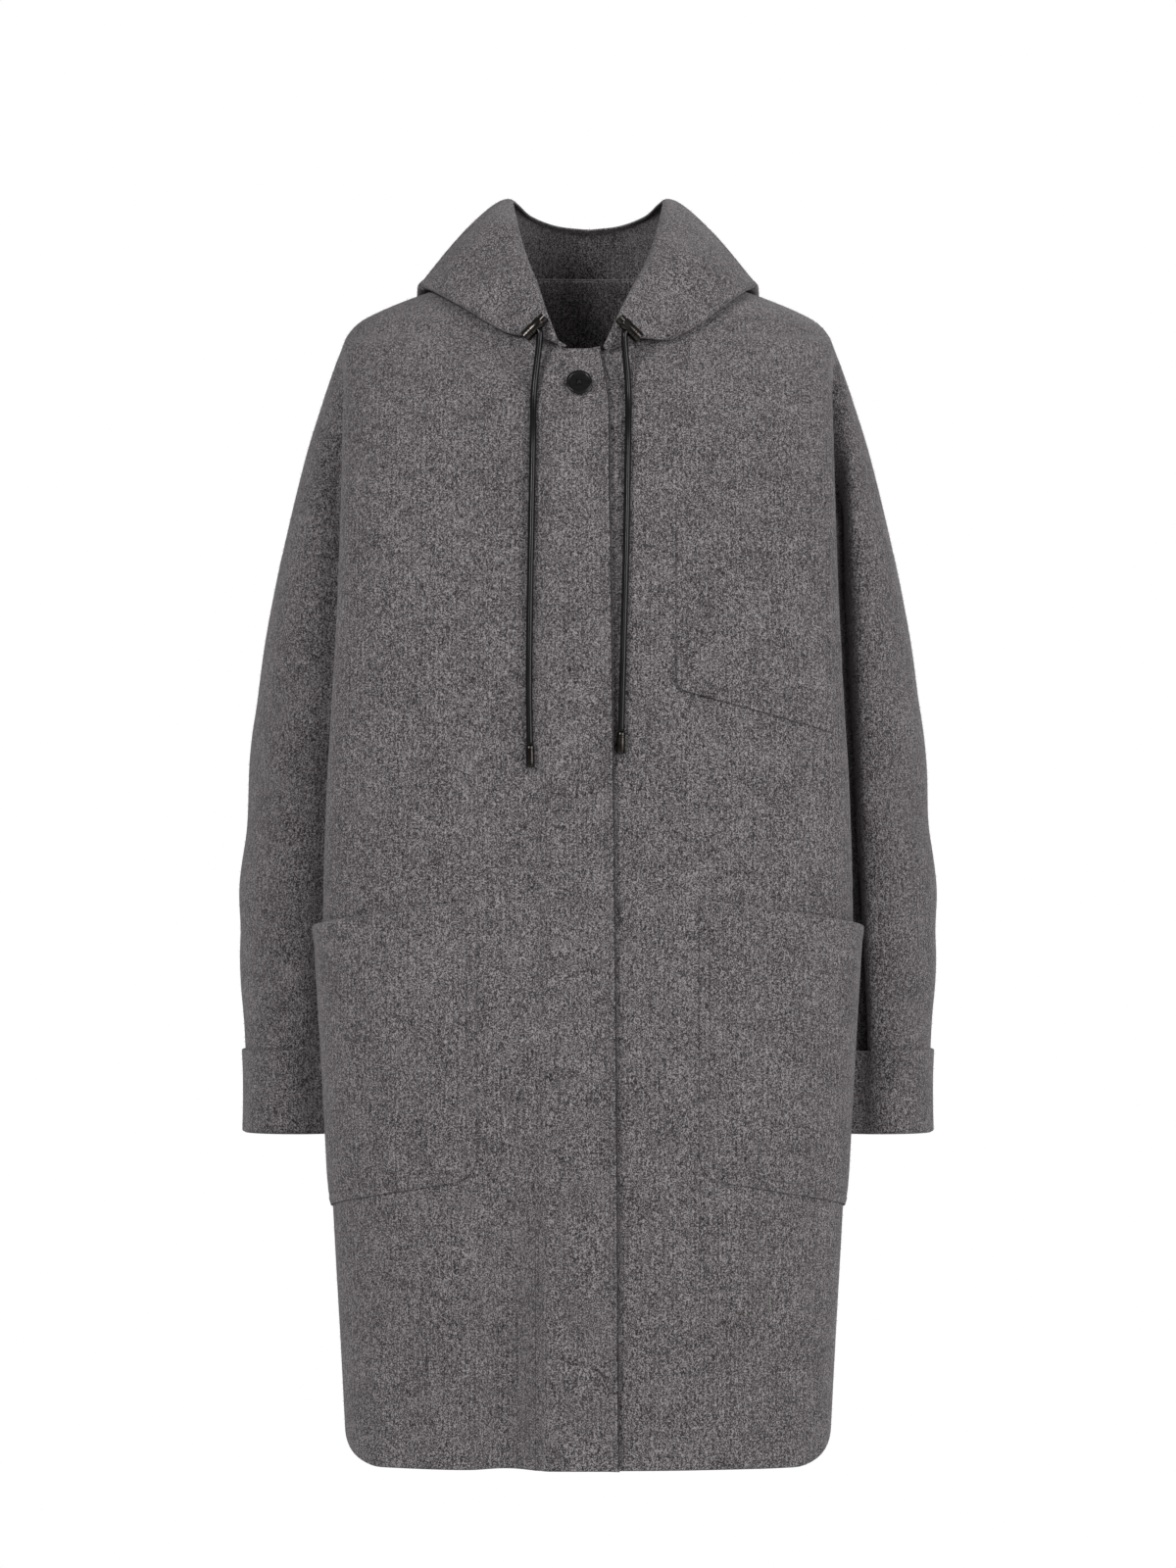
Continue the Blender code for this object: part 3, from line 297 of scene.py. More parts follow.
@dataclass(frozen=True)
class Crease:
    """A soft trough along a line seen from the front or the back, or a ridge where its depth is negative."""

    facing: Facing
    start_x: float
    start_z: float
    end_x: float
    end_z: float
    width: float
    depth: float
    fade: tuple[float, float] = (0.4, 0.4)

    def press(self, points: Array, normals: Array) -> Array:
        """How far the crease pushes each point in.

        Args:
            points: places on the cloth.
            normals: the cloth's outward directions there.

        Returns:
            A depth for each point.
        """
        start = np.array([self.start_x, self.start_z])
        run = np.array([self.end_x, self.end_z]) - start
        flat = points[:, [0, 2]] - start
        along = np.clip(flat @ run / (run @ run), 0.0, 1.0)
        away = np.linalg.norm(flat - along[:, None] * run, axis=1)
        taper = smooth_step(np.minimum(along / self.fade[0], (1 - along) / self.fade[1]))
        seen = np.clip(normals[:, 1] * self.facing.value * 2.5, 0.0, 1.0)
        return self.depth * taper * seen * np.exp(-((away / self.width) ** 2))


FRONT, BACK = Facing.FRONT, Facing.BACK

# Each crease is a row: from x, z to x, z, half width, depth and, where it isn't even, its fade at both ends.
# First the hollow between each sleeve and its front, and the valley beside the fly strip low down.
HOLLOWS = {
    Side.LEFT: (0.1965, -0.030, 0.2240, -0.800, 0.0070, 0.0300, (0.13, 0.30)),
    Side.RIGHT: (-0.1965, -0.030, -0.2240, -0.800, 0.0100, 0.0045, (0.13, 0.40)),
}
SKIRT_VALLEY = (-0.064, -0.640, -0.067, -1.100, 0.019, 0.0170)

# The creases of each piece and the side that they are pressed into.
CREASES = {
    ("front_left", FRONT): (
        (0.060, -0.270, 0.110, -0.420, 0.030, 0.0022),
        (0.150, -0.380, 0.120, -0.480, 0.022, 0.0018),
        (0.065, -0.800, 0.085, -0.950, 0.026, 0.0030),
        (0.150, -0.760, 0.140, -0.930, 0.024, 0.0026),
        (0.190, -0.100, 0.160, -0.180, 0.014, 0.0022),
    ),
    ("front_right", FRONT): (
        (-0.070, -0.250, -0.150, -0.380, 0.030, 0.0020),
        (-0.130, -0.400, -0.090, -0.480, 0.024, 0.0018),
        SKIRT_VALLEY,
        (-0.195, -0.800, -0.110, -0.880, 0.022, 0.0026),
        (-0.140, -0.850, -0.150, -0.960, 0.020, 0.0022),
        (-0.185, -0.090, -0.150, -0.170, 0.014, 0.0022),
    ),
    ("back", BACK): (
        (0.060, -0.230, 0.085, -0.800, 0.034, 0.0060),
        (-0.075, -0.260, -0.060, -0.700, 0.032, 0.0052),
        (0.010, -0.420, -0.010, -0.940, 0.030, 0.0050),
        (0.150, -0.330, 0.130, -0.620, 0.026, 0.0040),
        (-0.145, -0.350, -0.150, -0.860, 0.026, 0.0044),
        (0.125, -0.680, 0.140, -0.960, 0.024, 0.0046),
        (-0.085, -0.760, -0.095, -0.960, 0.022, 0.0040),
        (0.185, -0.250, 0.095, -0.180, 0.016, 0.0040),
        (-0.180, -0.240, -0.100, -0.160, 0.015, 0.0036),
        (0.175, -0.290, 0.090, -0.260, 0.014, 0.0030),
    ),
    ("sleeve_left", FRONT): (
        HOLLOWS[Side.LEFT],
        (0.222, -0.270, 0.262, -0.244, 0.010, 0.0033),
        (0.222, -0.330, 0.272, -0.312, 0.011, 0.0036),
        (0.222, -0.392, 0.290, -0.430, 0.011, 0.0063),
        (0.224, -0.436, 0.292, -0.456, 0.009, -0.0039),
        (0.230, -0.500, 0.280, -0.486, 0.010, 0.0033),
        (0.232, -0.552, 0.290, -0.590, 0.008, 0.0048),
    ),
    ("sleeve_left", BACK): (
        (0.170, -0.350, 0.280, -0.385, 0.012, 0.0044),
        (0.180, -0.440, 0.290, -0.425, 0.012, 0.0046),
        (0.180, -0.480, 0.285, -0.520, 0.010, 0.0036),
        (0.190, -0.575, 0.280, -0.560, 0.009, 0.0030),
    ),
    ("sleeve_right", FRONT): (
        HOLLOWS[Side.RIGHT],
        (-0.212, -0.305, -0.280, -0.352, 0.012, 0.0051),
        (-0.275, -0.374, -0.208, -0.401, 0.007, -0.0045),
        (-0.290, -0.392, -0.212, -0.428, 0.010, 0.0060),
        (-0.285, -0.480, -0.225, -0.505, 0.011, 0.0033),
        (-0.290, -0.544, -0.236, -0.560, 0.008, 0.0042),
        (-0.280, -0.598, -0.225, -0.580, 0.008, 0.0036),
    ),
    ("sleeve_right", BACK): (
        (-0.165, -0.340, -0.280, -0.372, 0.012, 0.0042),
        (-0.175, -0.410, -0.290, -0.440, 0.012, 0.0046),
        (-0.185, -0.500, -0.285, -0.480, 0.010, 0.0036),
        (-0.190, -0.560, -0.285, -0.582, 0.009, 0.0030),
    ),
    ("cuff_left", FRONT): ((0.213, -0.160, 0.220, -0.800, 0.013, 0.0120),),
    ("cuff_right", FRONT): ((-0.214, -0.160, -0.222, -0.800, 0.015, 0.0070),),
    ("hood_left", FRONT): (
        (0.058, 0.070, 0.104, 0.036, 0.013, 0.0046),
        (0.056, 0.038, 0.116, 0.014, 0.011, -0.0030),
        (0.046, 0.008, 0.098, -0.012, 0.011, 0.0030),
    ),
    ("hood_left", BACK): (
        (0.015, -0.020, 0.085, -0.110, 0.018, 0.0044),
        (0.050, 0.030, 0.110, -0.040, 0.015, 0.0036),
        (0.005, -0.120, 0.060, -0.165, 0.013, 0.0030),
    ),
    ("hood_right", FRONT): (
        (-0.064, 0.064, -0.084, 0.004, 0.013, 0.0044),
        (-0.088, 0.046, -0.118, 0.010, 0.011, -0.0030),
        (-0.050, 0.000, -0.094, -0.020, 0.010, 0.0030),
    ),
    ("hood_right", BACK): (
        (-0.020, -0.010, -0.075, -0.130, 0.018, 0.0042),
        (-0.055, 0.040, -0.115, -0.030, 0.014, 0.0034),
        (-0.010, -0.100, -0.050, -0.170, 0.012, 0.0026),
    ),
    ("placket", FRONT): (SKIRT_VALLEY,),
}


@dataclass
class BodyForm:
    """The cut of the body as level sections, with the fronts' largest folds and the rise of the fly strip."""

    hem_z: float = -0.944
    underarm_z: float = -0.285
    shoulder_z: float = -0.034
    neck_top_z: float = 0.018
    neck_front_z: float = -0.049
    front_squareness: float = 2.35
    back_squareness: float = 2.2
    armhole_half_depth: float = 0.055
    wrap_bias: float = 0.6
    wrap_least: float = 0.002
    hem_rise: float = 0.080
    hem_curve_length: float = 0.150
    hem_curve_fade: float = 0.300
    fold_fade: float = 0.120
    fly_seam_x: float = -0.0424
    fly_height: float = 0.0038
    fly_ramp: float = 0.0105
    quarter_samples: int = 60
    wrap_samples: int = 30
    shares: int = 241
    facing_step: float = 0.002
    # Soft folds of the fronts: x, half width, depth, low end, high end.
    folds: tuple[tuple[float, ...], ...] = (
        (-0.066, 0.020, 0.0035, -0.990, -0.640),
        (0.105, 0.034, 0.0025, -0.990, -0.760),
        (-0.150, 0.028, 0.0025, -0.990, -0.770),
    )
    levels: Array = field(init=False)
    front_sections: Array = field(init=False)
    front_lengths: Array = field(init=False)
    back_sections: Array = field(init=False)
    back_lengths: Array = field(init=False)

    def __post_init__(self) -> None:
        """Works out the sections once, close together in height."""
        low = np.linspace(self.hem_z - 0.006, self.underarm_z, 330)
        turn = np.linspace(0, math.pi, 161)
        arm = self.underarm_z + (self.shoulder_z - self.underarm_z) * (1 - np.cos(turn)) / 2
        top = np.linspace(self.shoulder_z, self.neck_top_z, 40)
        self.levels = np.concatenate([low, arm[1:], top[1:]])
        self.front_sections, self.front_lengths = self._sections(True)
        self.back_sections, self.back_lengths = self._sections(False)

    def armhole_spread(self, z: float) -> float:
        """How far the armhole's front and back edges stand from its middle at a height.

        Args:
            z: the height.

        Returns:
            The distance, 0 above and below the armhole.
        """
        share = (z - self.underarm_z) / (self.shoulder_z - self.underarm_z)
        if share <= 0 or share >= 1:
            return 0.0
        return self.armhole_half_depth * (2 * math.sqrt(share * (1 - share))) ** 0.9

    def section(self, z: float, front: bool) -> Array:
        """The level section of the left front or left back, from the centre to the side.

        Args:
            z: the height.
            front: True for the front.

        Returns:
            Points (x, y); the first quarter_samples of them run to the widest place.
        """
        size = {name: float(value) for name, value in BODY_SECTIONS.at(z).items()}
        if front:
            wide, centre_y, power = size["front_w"], -size["front_d"], 2 / self.front_squareness
            side_y = size["side_y"] - self.armhole_spread(z)
            wide_y = min(size["front_wy"], side_y - self.wrap_least)
        else:
            wide, centre_y, power = size["back_w"], size["back_d"], 2 / self.back_squareness
            side_y = size["side_y"] + self.armhole_spread(z)
            wide_y = max(size["back_wy"], side_y + self.wrap_least)
        turn = np.linspace(0, math.pi / 2, self.quarter_samples)
        quarter_y = wide_y + (centre_y - wide_y) * np.cos(turn).clip(0) ** power
        quarter = np.stack([wide * np.sin(turn) ** power, quarter_y], 1)
        t = np.linspace(0, 1, self.wrap_samples)[1:]
        wrap_x = wide + (size["side_x"] - wide) * smooth_step(t**self.wrap_bias)
        wrap = np.stack([wrap_x, wide_y + (side_y - wide_y) * t], 1)
        return np.concatenate([quarter, wrap])

    def _sections(self, front: bool) -> tuple[Array, Array]:
        """Every level's section at even shares of its length, and those lengths.

        Args:
            front: whether it is the front's section or the back's.

        Returns:
            The sections and their lengths.
        """
        lines = [self.section(z, front) for z in self.levels]
        lengths = np.array([distances_along(line)[-1] for line in lines])
        return np.array([resampled(line, self.shares) for line in lines]), lengths

    def _read(self, sections: Array, z: Array, share: Array) -> Array:
        """Places on the sections, read between levels and between shares.

        Args:
            sections: every level's section at even shares.
            z: heights.
            share: shares of the section's length from the centre.

        Returns:
            The places across and in depth.
        """
        row = np.clip(np.searchsorted(self.levels, z, "right") - 1, 0, len(self.levels) - 2)
        up = np.clip((z - self.levels[row]) / (self.levels[row + 1] - self.levels[row]), 0, 1)[..., None]
        place = np.clip(share, 0, 1) * (self.shares - 1)
        column = np.minimum(place.astype(int), self.shares - 2)
        across = (place - column)[..., None]
        low = sections[row, column] * (1 - across) + sections[row, column + 1] * across
        high = sections[row + 1, column] * (1 - across) + sections[row + 1, column + 1] * across
        return low * (1 - up) + high * up

    def front_length(self, z: Numbers) -> Array:
        """The cloth of one front from the centre to the side at a height."""
        return np.interp(z, self.levels, self.front_lengths)

    def back_length(self, z: Numbers) -> Array:
        """The cloth of half the back at a height."""
        return np.interp(z, self.levels, self.back_lengths)

    def fold(self, x: Array, z: Array) -> Array:
        """How far the soft folds push the fronts in at a place.

        Args:
            x: places across.
            z: heights.

        Returns:
            The depths.
        """
        depth = np.zeros_like(x)
        for at, half_width, deep, low, high in self.folds:
            along = np.clip((z - low) / (high - low), 0.0, 1.0)
            fade = smooth_step(2.4 * (1 - along)) * (1 - along)
            depth += deep * fade * np.exp(-(((x - at) / half_width) ** 2))
        return depth

    def front(self, z: Numbers, distance: Numbers) -> Array:
        """Points of the outer front.

        Args:
            z: heights.
            distance: distances along the cloth from the centre, below 0 on the wearer's right.

        Returns:
            The points, in the last axis.
        """
        z, distance = np.broadcast_arrays(np.asarray(z, float), np.asarray(distance, float))
        length = self.front_length(z)
        flat = self._read(self.front_sections, z, np.abs(distance) / length)
        x = flat[..., 0] * np.where(distance < 0, -1.0, 1.0)
        fade = smooth_step((length - np.abs(distance)) / self.fold_fade)
        return np.stack([x, flat[..., 1] + fade * self.fold(x, z), z], -1)

    def back(self, z: Numbers, share: Numbers) -> Array:
        """Points of the outer back, with shares from 1 at the left side through 0 to -1.

        Args:
            z: heights.
            share: shares of half the back's width.

        Returns:
            The points.
        """
        z, share = np.broadcast_arrays(np.asarray(z, float), np.asarray(share, float))
        flat = self._read(self.back_sections, z, np.abs(share))
        return np.stack([flat[..., 0] * np.where(share < 0, -1.0, 1.0), flat[..., 1], z], -1)

    def round_body(self, z: Array, share: Array) -> Array:
        """Points round the left half of the body: share 0 centre front, 1 side or shoulder, 2 centre back.

        Args:
            z: heights.
            share: shares of the way round.

        Returns:
            The points.
        """
        on_front = self.front(z, share * self.front_length(z))
        on_back = self.back(z, 2 - share)
        return np.where((share <= 1)[..., None], on_front, on_back)

    def distance_at(self, z: float, x: Numbers) -> Array:
        """Distances along the front from the centre to places across, at one height.

        Args:
            z: the height.
            x: places across.

        Returns:
            The distances, below 0 on the right.
        """
        line = self.section(z, True)[: self.quarter_samples]
        found = np.interp(np.abs(x), line[:, 0], distances_along(line))
        return np.where(np.asarray(x) < 0, -found, found)

    def distances_at(self, z: Array, x: Array) -> Array:
        """The same at many heights, with one place across at each."""
        return np.array([float(self.distance_at(height, place)) for height, place in zip(z, x)])

    def front_out(self, z: Array, distance: Array, out: Numbers) -> Array:
        """Points of the front moved out from the cloth."""
        normal = self.front_normal(z, distance)
        return self.front(z, distance) + normal * np.asarray(out, float)[..., None]

    def front_normal(self, z: Numbers, distance: Numbers) -> Array:
        """Outward directions of the front.

        Args:
            z: heights.
            distance: distances along the front from the centre.

        Returns:
            The directions.
        """
        step = self.facing_step
        z, distance = np.asarray(z, float), np.asarray(distance, float)
        across = self.front(z, distance + step) - self.front(z, distance - step)
        up = self.front(z + step, distance) - self.front(z - step, distance)
        return unit(np.cross(across, up))

    def fly_rise(self, x: Numbers) -> Array:
        """How far the fly strip stands off the front under it."""
        return self.fly_height * smooth_step((np.asarray(x) - self.fly_seam_x) / self.fly_ramp)

    def neck_half_width(self, z: Numbers) -> Array:
        """Half the neck opening across the front at a height."""
        return NECKLINE.at(z)["half_width"]

    def neck_height(self, x: Numbers) -> Array:
        """The height of the front neckline at places across."""
        heights = np.linspace(self.neck_front_z, self.neck_top_z, 60)
        return np.interp(np.abs(x), self.neck_half_width(heights), heights)

    def hem_lift(self, z: Array, from_side: Array) -> Array:
        """How far a row near the hem rises towards the side, which gives the hem its round corners."""
        fade = np.clip(1 - (z - self.hem_z) / self.hem_curve_fade, 0.0, 1.0)
        return fade * self.hem_rise * smooth_step(1 - from_side / self.hem_curve_length)

    def armhole(self, turn: Array) -> Array:
        """The armhole fold, from the underarm over the front to the shoulder and down the back.

        Args:
            turn: turns round the arm, with the shoulder at half a turn.

        Returns:
            The points on the left side.
        """
        z = self.underarm_z + (self.shoulder_z - self.underarm_z) * (1 - np.cos(turn)) / 2
        on_front = self.front(z, self.front_length(z))
        on_back = self.back(z, np.ones_like(z))
        return np.where((turn <= math.pi)[..., None], on_front, on_back)


@dataclass
class SleeveForm:
    """The left sleeve as rings from the armhole fold to the wrist."""

    body: BodyForm
    roundness: float = 0.92
    seam_ring: float = 3.0
    # Soft folds across the sleeve: ring, half width in rings, depth, turn where it is deepest.
    folds: tuple[tuple[float, ...], ...] = (
        (6.9, 0.42, 0.0040, 1.9),
        (8.2, 0.40, 0.0035, 2.4),
        (9.5, 0.35, 0.0030, 1.3),
    )

    def point(self, ring: Array, turn: Array) -> Array:
        """Points of the sleeve.

        Args:
            ring: 0 at the armhole fold, 3 at the sleeve seam, 12 at the wrist.
            turn: angle round the sleeve: 0 underarm, pi / 2 front, pi outside.

        Returns:
            The points, in the last axis.
        """
        ring, turn = np.broadcast_arrays(np.asarray(ring, float), np.asarray(turn, float))
        size = SLEEVE_RINGS.at(np.maximum(ring, 1.0))
        share = (1 - np.cos(turn)) / 2
        side = np.sign(np.sin(turn)) * np.abs(np.sin(turn)) ** self.roundness
        x = size["in_x"] + (size["out_x"] - size["in_x"]) * share + size["bulge"] * side**2
        z = size["in_z"] + (size["out_z"] - size["in_z"]) * share + size["arch"] * side**2
        y = size["mid_y"] - size["half_d"] * side
        middle_x = (size["in_x"] + size["out_x"]) / 2
        inward = unit(np.stack([middle_x - x, size["mid_y"] - y, np.zeros_like(x)], -1))
        depth = np.zeros_like(x)
        for at, half_width, deep, where in self.folds:
            around = (0.5 + 0.5 * np.cos(turn - where)) ** 2
            depth += deep * around * np.exp(-(((ring - at) / half_width) ** 2))
        placed = np.stack([x, y, z], -1) + inward * depth[..., None]
        fold = self.body.armhole(turn)
        near = np.clip(ring, 0.0, 1.0)[..., None]
        return fold + (placed - fold) * near

    def normal(self, ring: Array, turn: Array, step: float = 0.02) -> Array:
        """Outward directions of the sleeve.

        Args:
            ring: places along the sleeve, counted in rings.
            turn: turns round the arm.
            step: how far apart the points lie that they are read from.

        Returns:
            The directions.
        """
        around = self.point(ring, turn + step) - self.point(ring, turn - step)
        up = self.point(ring - step, turn) - self.point(ring + step, turn)
        return unit(np.cross(around, up))


class ClothPiece:
    """One piece of cloth as a thin closed sheet, made from joined grids of points on its outer side."""

    rim_turns = (math.pi / 5, math.pi / 2, 4 * math.pi / 5)
    sharp = math.radians(62)

    def __init__(self, name: str, wall: float, sewn_round: float = 0.00004) -> None:
        """Starts an empty piece.

        Args:
            name: the piece's name, which is its solid's.
            wall: thickness of the cloth.
            sewn_round: how far an edge rounds over where it is sewn to another piece.
        """
        self.name = name
        self.wall = wall
        self.sewn_round = sewn_round
        self.places: dict[tuple[float, ...], int] = {}
        self.rows: list[Array] = []
        self.maps: list[Array] = []
        self.faces: list[tuple[int, int, int, int]] = []
        self.sewn: set[int] = set()
        self.points = np.zeros((0, 3))

    def add_grid(self, grid: Array, cloth_map: Array, sewn: str = "") -> None:
        """Joins a grid of points to the piece.

        Args:
            grid: rows from bottom to top that run from left to right as seen from outside.
            cloth_map: each point's place on the flat cloth.
            sewn: which of low, high, left and right are sewn edges.
        """
        count = len(self.rows)
        numbers = np.empty(grid.shape[:2], int)
        for index in np.ndindex(*numbers.shape):
            key = tuple(np.round(grid[index], 6) + 0.0)
            if key not in self.places:
                self.places[key] = count
                self.rows.append(grid[index])
                self.maps.append(cloth_map[index])
                count += 1
            numbers[index] = self.places[key]
        borders = {"low": numbers[0], "high": numbers[-1], "left": numbers[:, 0], "right": numbers[:, -1]}
        for border in sewn.split():
            self.sewn.update(int(k) for k in borders[border])
        corners = np.stack([numbers[:-1, :-1], numbers[:-1, 1:], numbers[1:, 1:], numbers[1:, :-1]], -1)
        for face in corners.reshape(-1, 4):
            kept = list(dict.fromkeys(int(k) for k in face))
            if len(kept) > 2:
                self.faces.append(tuple(kept + kept[-1:])[:4])
        self.points = np.array(self.rows)

    def facing(self) -> Array:
        """Each face's outward direction, twice as long as its area."""
        a, b, c, d = (self.points[k] for k in np.array(self.faces).T)
        return np.cross(c - a, d - b)

    def normals(self) -> Array:
        """The outward direction at each point."""
        facing = self.facing()
        total = np.zeros_like(self.points)
        for column in np.array(self.faces).T:
            np.add.at(total, column, facing)
        return unit(total)

    def sides(self) -> Array:
        """The sides of the faces, as pairs of points in the order of each face."""
        faces = np.array(self.faces)
        pairs = np.concatenate([faces[:, [k, (k + 1) % 4]] for k in range(4)])
        return pairs[pairs[:, 0] != pairs[:, 1]]

    def rim(self) -> Array:
        """The sides with cloth on one side only."""
        pairs, count = self.sides(), len(self.points)
        ahead, back = pairs[:, 0] * count + pairs[:, 1], pairs[:, 1] * count + pairs[:, 0]
        return pairs[~np.isin(ahead, back)]

    def soften(self, line: Array, reach: float, rounds: int) -> None:
        """Rounds the cloth along a line, such as a hard fold.

        Args:
            line: points of the line.
            reach: how far from it the cloth gives.
            rounds: how often each point moves to the middle of those beside it.
        """
        pairs = np.unique(np.sort(self.sides(), axis=1), axis=0)
        pairs = np.concatenate([pairs, pairs[:, ::-1]])
        gap = np.full(len(self.points), np.inf)
        for spot in line:
            gap = np.minimum(gap, np.linalg.norm(self.points - spot, axis=1))
        weight = np.exp(-((gap / reach) ** 2))
        weight[np.unique(self.rim())] = 0.0
        near = np.bincount(pairs[:, 0], minlength=len(self.points))
        for _ in range(rounds):
            total = np.zeros_like(self.points)
            np.add.at(total, pairs[:, 0], self.points[pairs[:, 1]])
            self.points = self.points + weight[:, None] * 0.5 * (total / near[:, None] - self.points)

    def crease(self, rows: dict[Facing, Sequence[tuple]], first: int = 0) -> None:
        """Presses creases into the cloth, from one of its points on.

        Args:
            rows: the creases that are pressed into its front and its back.
            first: the number of the first point that they reach.
        """
        normals = self.normals()
        depth = np.zeros(len(self.points))
        for facing, row in ((facing, row) for facing, found in rows.items() for row in found):
            depth += Crease(facing, *row).press(self.points, normals)
        depth[:first] = 0.0
        self.points = self.points - normals * depth[:, None]

    def crease_as_worn(self) -> None:
        """Presses the piece's own creases into it."""
        self.crease({facing: CREASES.get((self.name, facing), ()) for facing in Facing})

    def build(self, material: Material, extra: Numbers = 0.0, painted_shade: float = 0.0) -> "Made":
        """Gives the piece its thickness and rounded edges.

        Args:
            material: its finish.
            extra: thickness added at the points, as where an edge is turned over.
            painted_shade: painted shade on its free edges at the sides, which stands in for the shadow under
                a raised edge.

        Returns:
            The finished object with its outer side and area.
        """
        normals = self.normals()
        rim = self.rim()
        wall = self.wall + extra + np.zeros(len(self.points))
        ahead = unit(self.points[rim[:, 1]] - self.points[rim[:, 0]])
        outward = np.zeros_like(self.points)
        for column in rim.T:
            np.add.at(outward, column, np.cross(ahead, normals[column]))
        outward = unit(outward)
        edge = np.unique(rim)
        reach = wall / 2
        reach[list(self.sewn)] = self.sewn_round
        outer = self.points.copy()
        outer[edge] -= outward[edge] * reach[edge, None]
        inner = outer - normals * wall[:, None]
        count = len(outer)
        slot = np.full(count, -1)
        slot[edge] = np.arange(len(edge))
        rings = []
        for turn in self.rim_turns:
            middle = (outer[edge] + inner[edge]) / 2
            lift = normals[edge] * (wall[edge, None] / 2) * math.cos(turn)
            rings.append(middle + lift + outward[edge] * reach[edge, None] * math.sin(turn))
        every = np.concatenate([outer, inner, *rings])
        flat = np.array(self.maps)
        shifts = [flat[edge] + self.wall * (k + 1) / 3 for k in range(len(rings))]
        cloth_map = np.concatenate([flat, flat, *shifts])
        faces = [face[:3] if face[2] == face[3] else face for face in self.faces]
        shut = list(faces) + [tuple(k + count for k in reversed(face)) for face in faces]
        starts = [2 * count + k * len(edge) for k in range(len(rings))]
        for a, b in rim:
            left = [a, *(s + slot[a] for s in starts), a + count]
            right = [b, *(s + slot[b] for s in starts), b + count]
            shut += [(right[k], left[k], left[k + 1], right[k + 1]) for k in range(len(left) - 1)]
        obj = mesh_object(f"cloth_{self.name}", every, shut, material, cloth_map)
        obj.data.set_sharp_from_angle(angle=self.sharp)
        # Painted shade: the free side edges and their rounded rims are marked darker, for the shadow in the
        # crevice under the edge.
        if painted_shade:
            free = painted_shade * (~np.isin(edge, list(self.sewn)) & (np.abs(outward[edge, 0]) > 0.8))
            shade = np.zeros(len(every))
            shade[edge] = free
            shade[2 * count :] = np.tile(free, len(rings))
            obj.data.attributes.new(PAINTED_EDGE_SHADE, "FLOAT", "POINT").data.foreach_set("value", shade)
        area = float(np.linalg.norm(self.facing(), axis=1).sum() / 2)
        return Made(self.name, obj, outer, faces, area)


@dataclass
class Made:
    """A finished cloth piece with what its nap needs, and its area."""

    name: str
    obj: Object
    outer: Array
    faces: list[tuple[int, ...]]
    area: float


def in_scene(name: str, data: bpy.types.ID) -> Object:
    """A new object in the scene.

    Args:
        name: the object's name.
        data: its mesh, light or other data.

    Returns:
        The object.
    """
    obj = bpy.data.objects.new(name, data)
    bpy.context.scene.collection.objects.link(obj)
    return obj


def as_shown(obj: Object) -> Mesh:
    """The plain mesh that an object's modifiers give."""
    graph = bpy.context.evaluated_depsgraph_get()
    return bpy.data.meshes.new_from_object(obj.evaluated_get(graph), depsgraph=graph)


def mesh_object(
    name: str,
    points: Array,
    faces: Sequence[Sequence[int]],
    material: Material,
    cloth_map: Array | None = None,
) -> Object:
    """A named object of one smooth mesh.

    Args:
        name: the object's name.
        points: its vertices.
        faces: its faces, as numbers of vertices.
        material: its finish.
        cloth_map: each vertex's place on the flat cloth or along a cord.

    Returns:
        The object, at the origin.
    """
    mesh = bpy.data.meshes.new(name)
    mesh.from_pydata(points.tolist(), [], [[int(k) for k in face] for face in faces])
    mesh.update()
    mesh.shade_smooth()
    if cloth_map is not None:
        corners = np.empty(len(mesh.loops), int)
        mesh.loops.foreach_get("vertex_index", corners)
        layer = mesh.uv_layers.new(name=CLOTH_MAP)
        layer.data.foreach_set("uv", cloth_map[corners].astype(np.float32).ravel())
    mesh.materials.append(material)
    return in_scene(name, mesh)


def placed(obj: Object, slot: str, *nodes: str) -> Object:
    """Lets a finished piece ride on the coat and stand for its solids, which it hides.

    Args:
        obj: the piece.
        slot: the record's material slot; not used.
        nodes: the solids that it stands for.

    Returns:
        The piece.
    """
    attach(obj, BODY)
    if nodes:
        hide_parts(*nodes)
    log.info("%s: %d faces", obj.name, len(obj.data.polygons))
    return obj


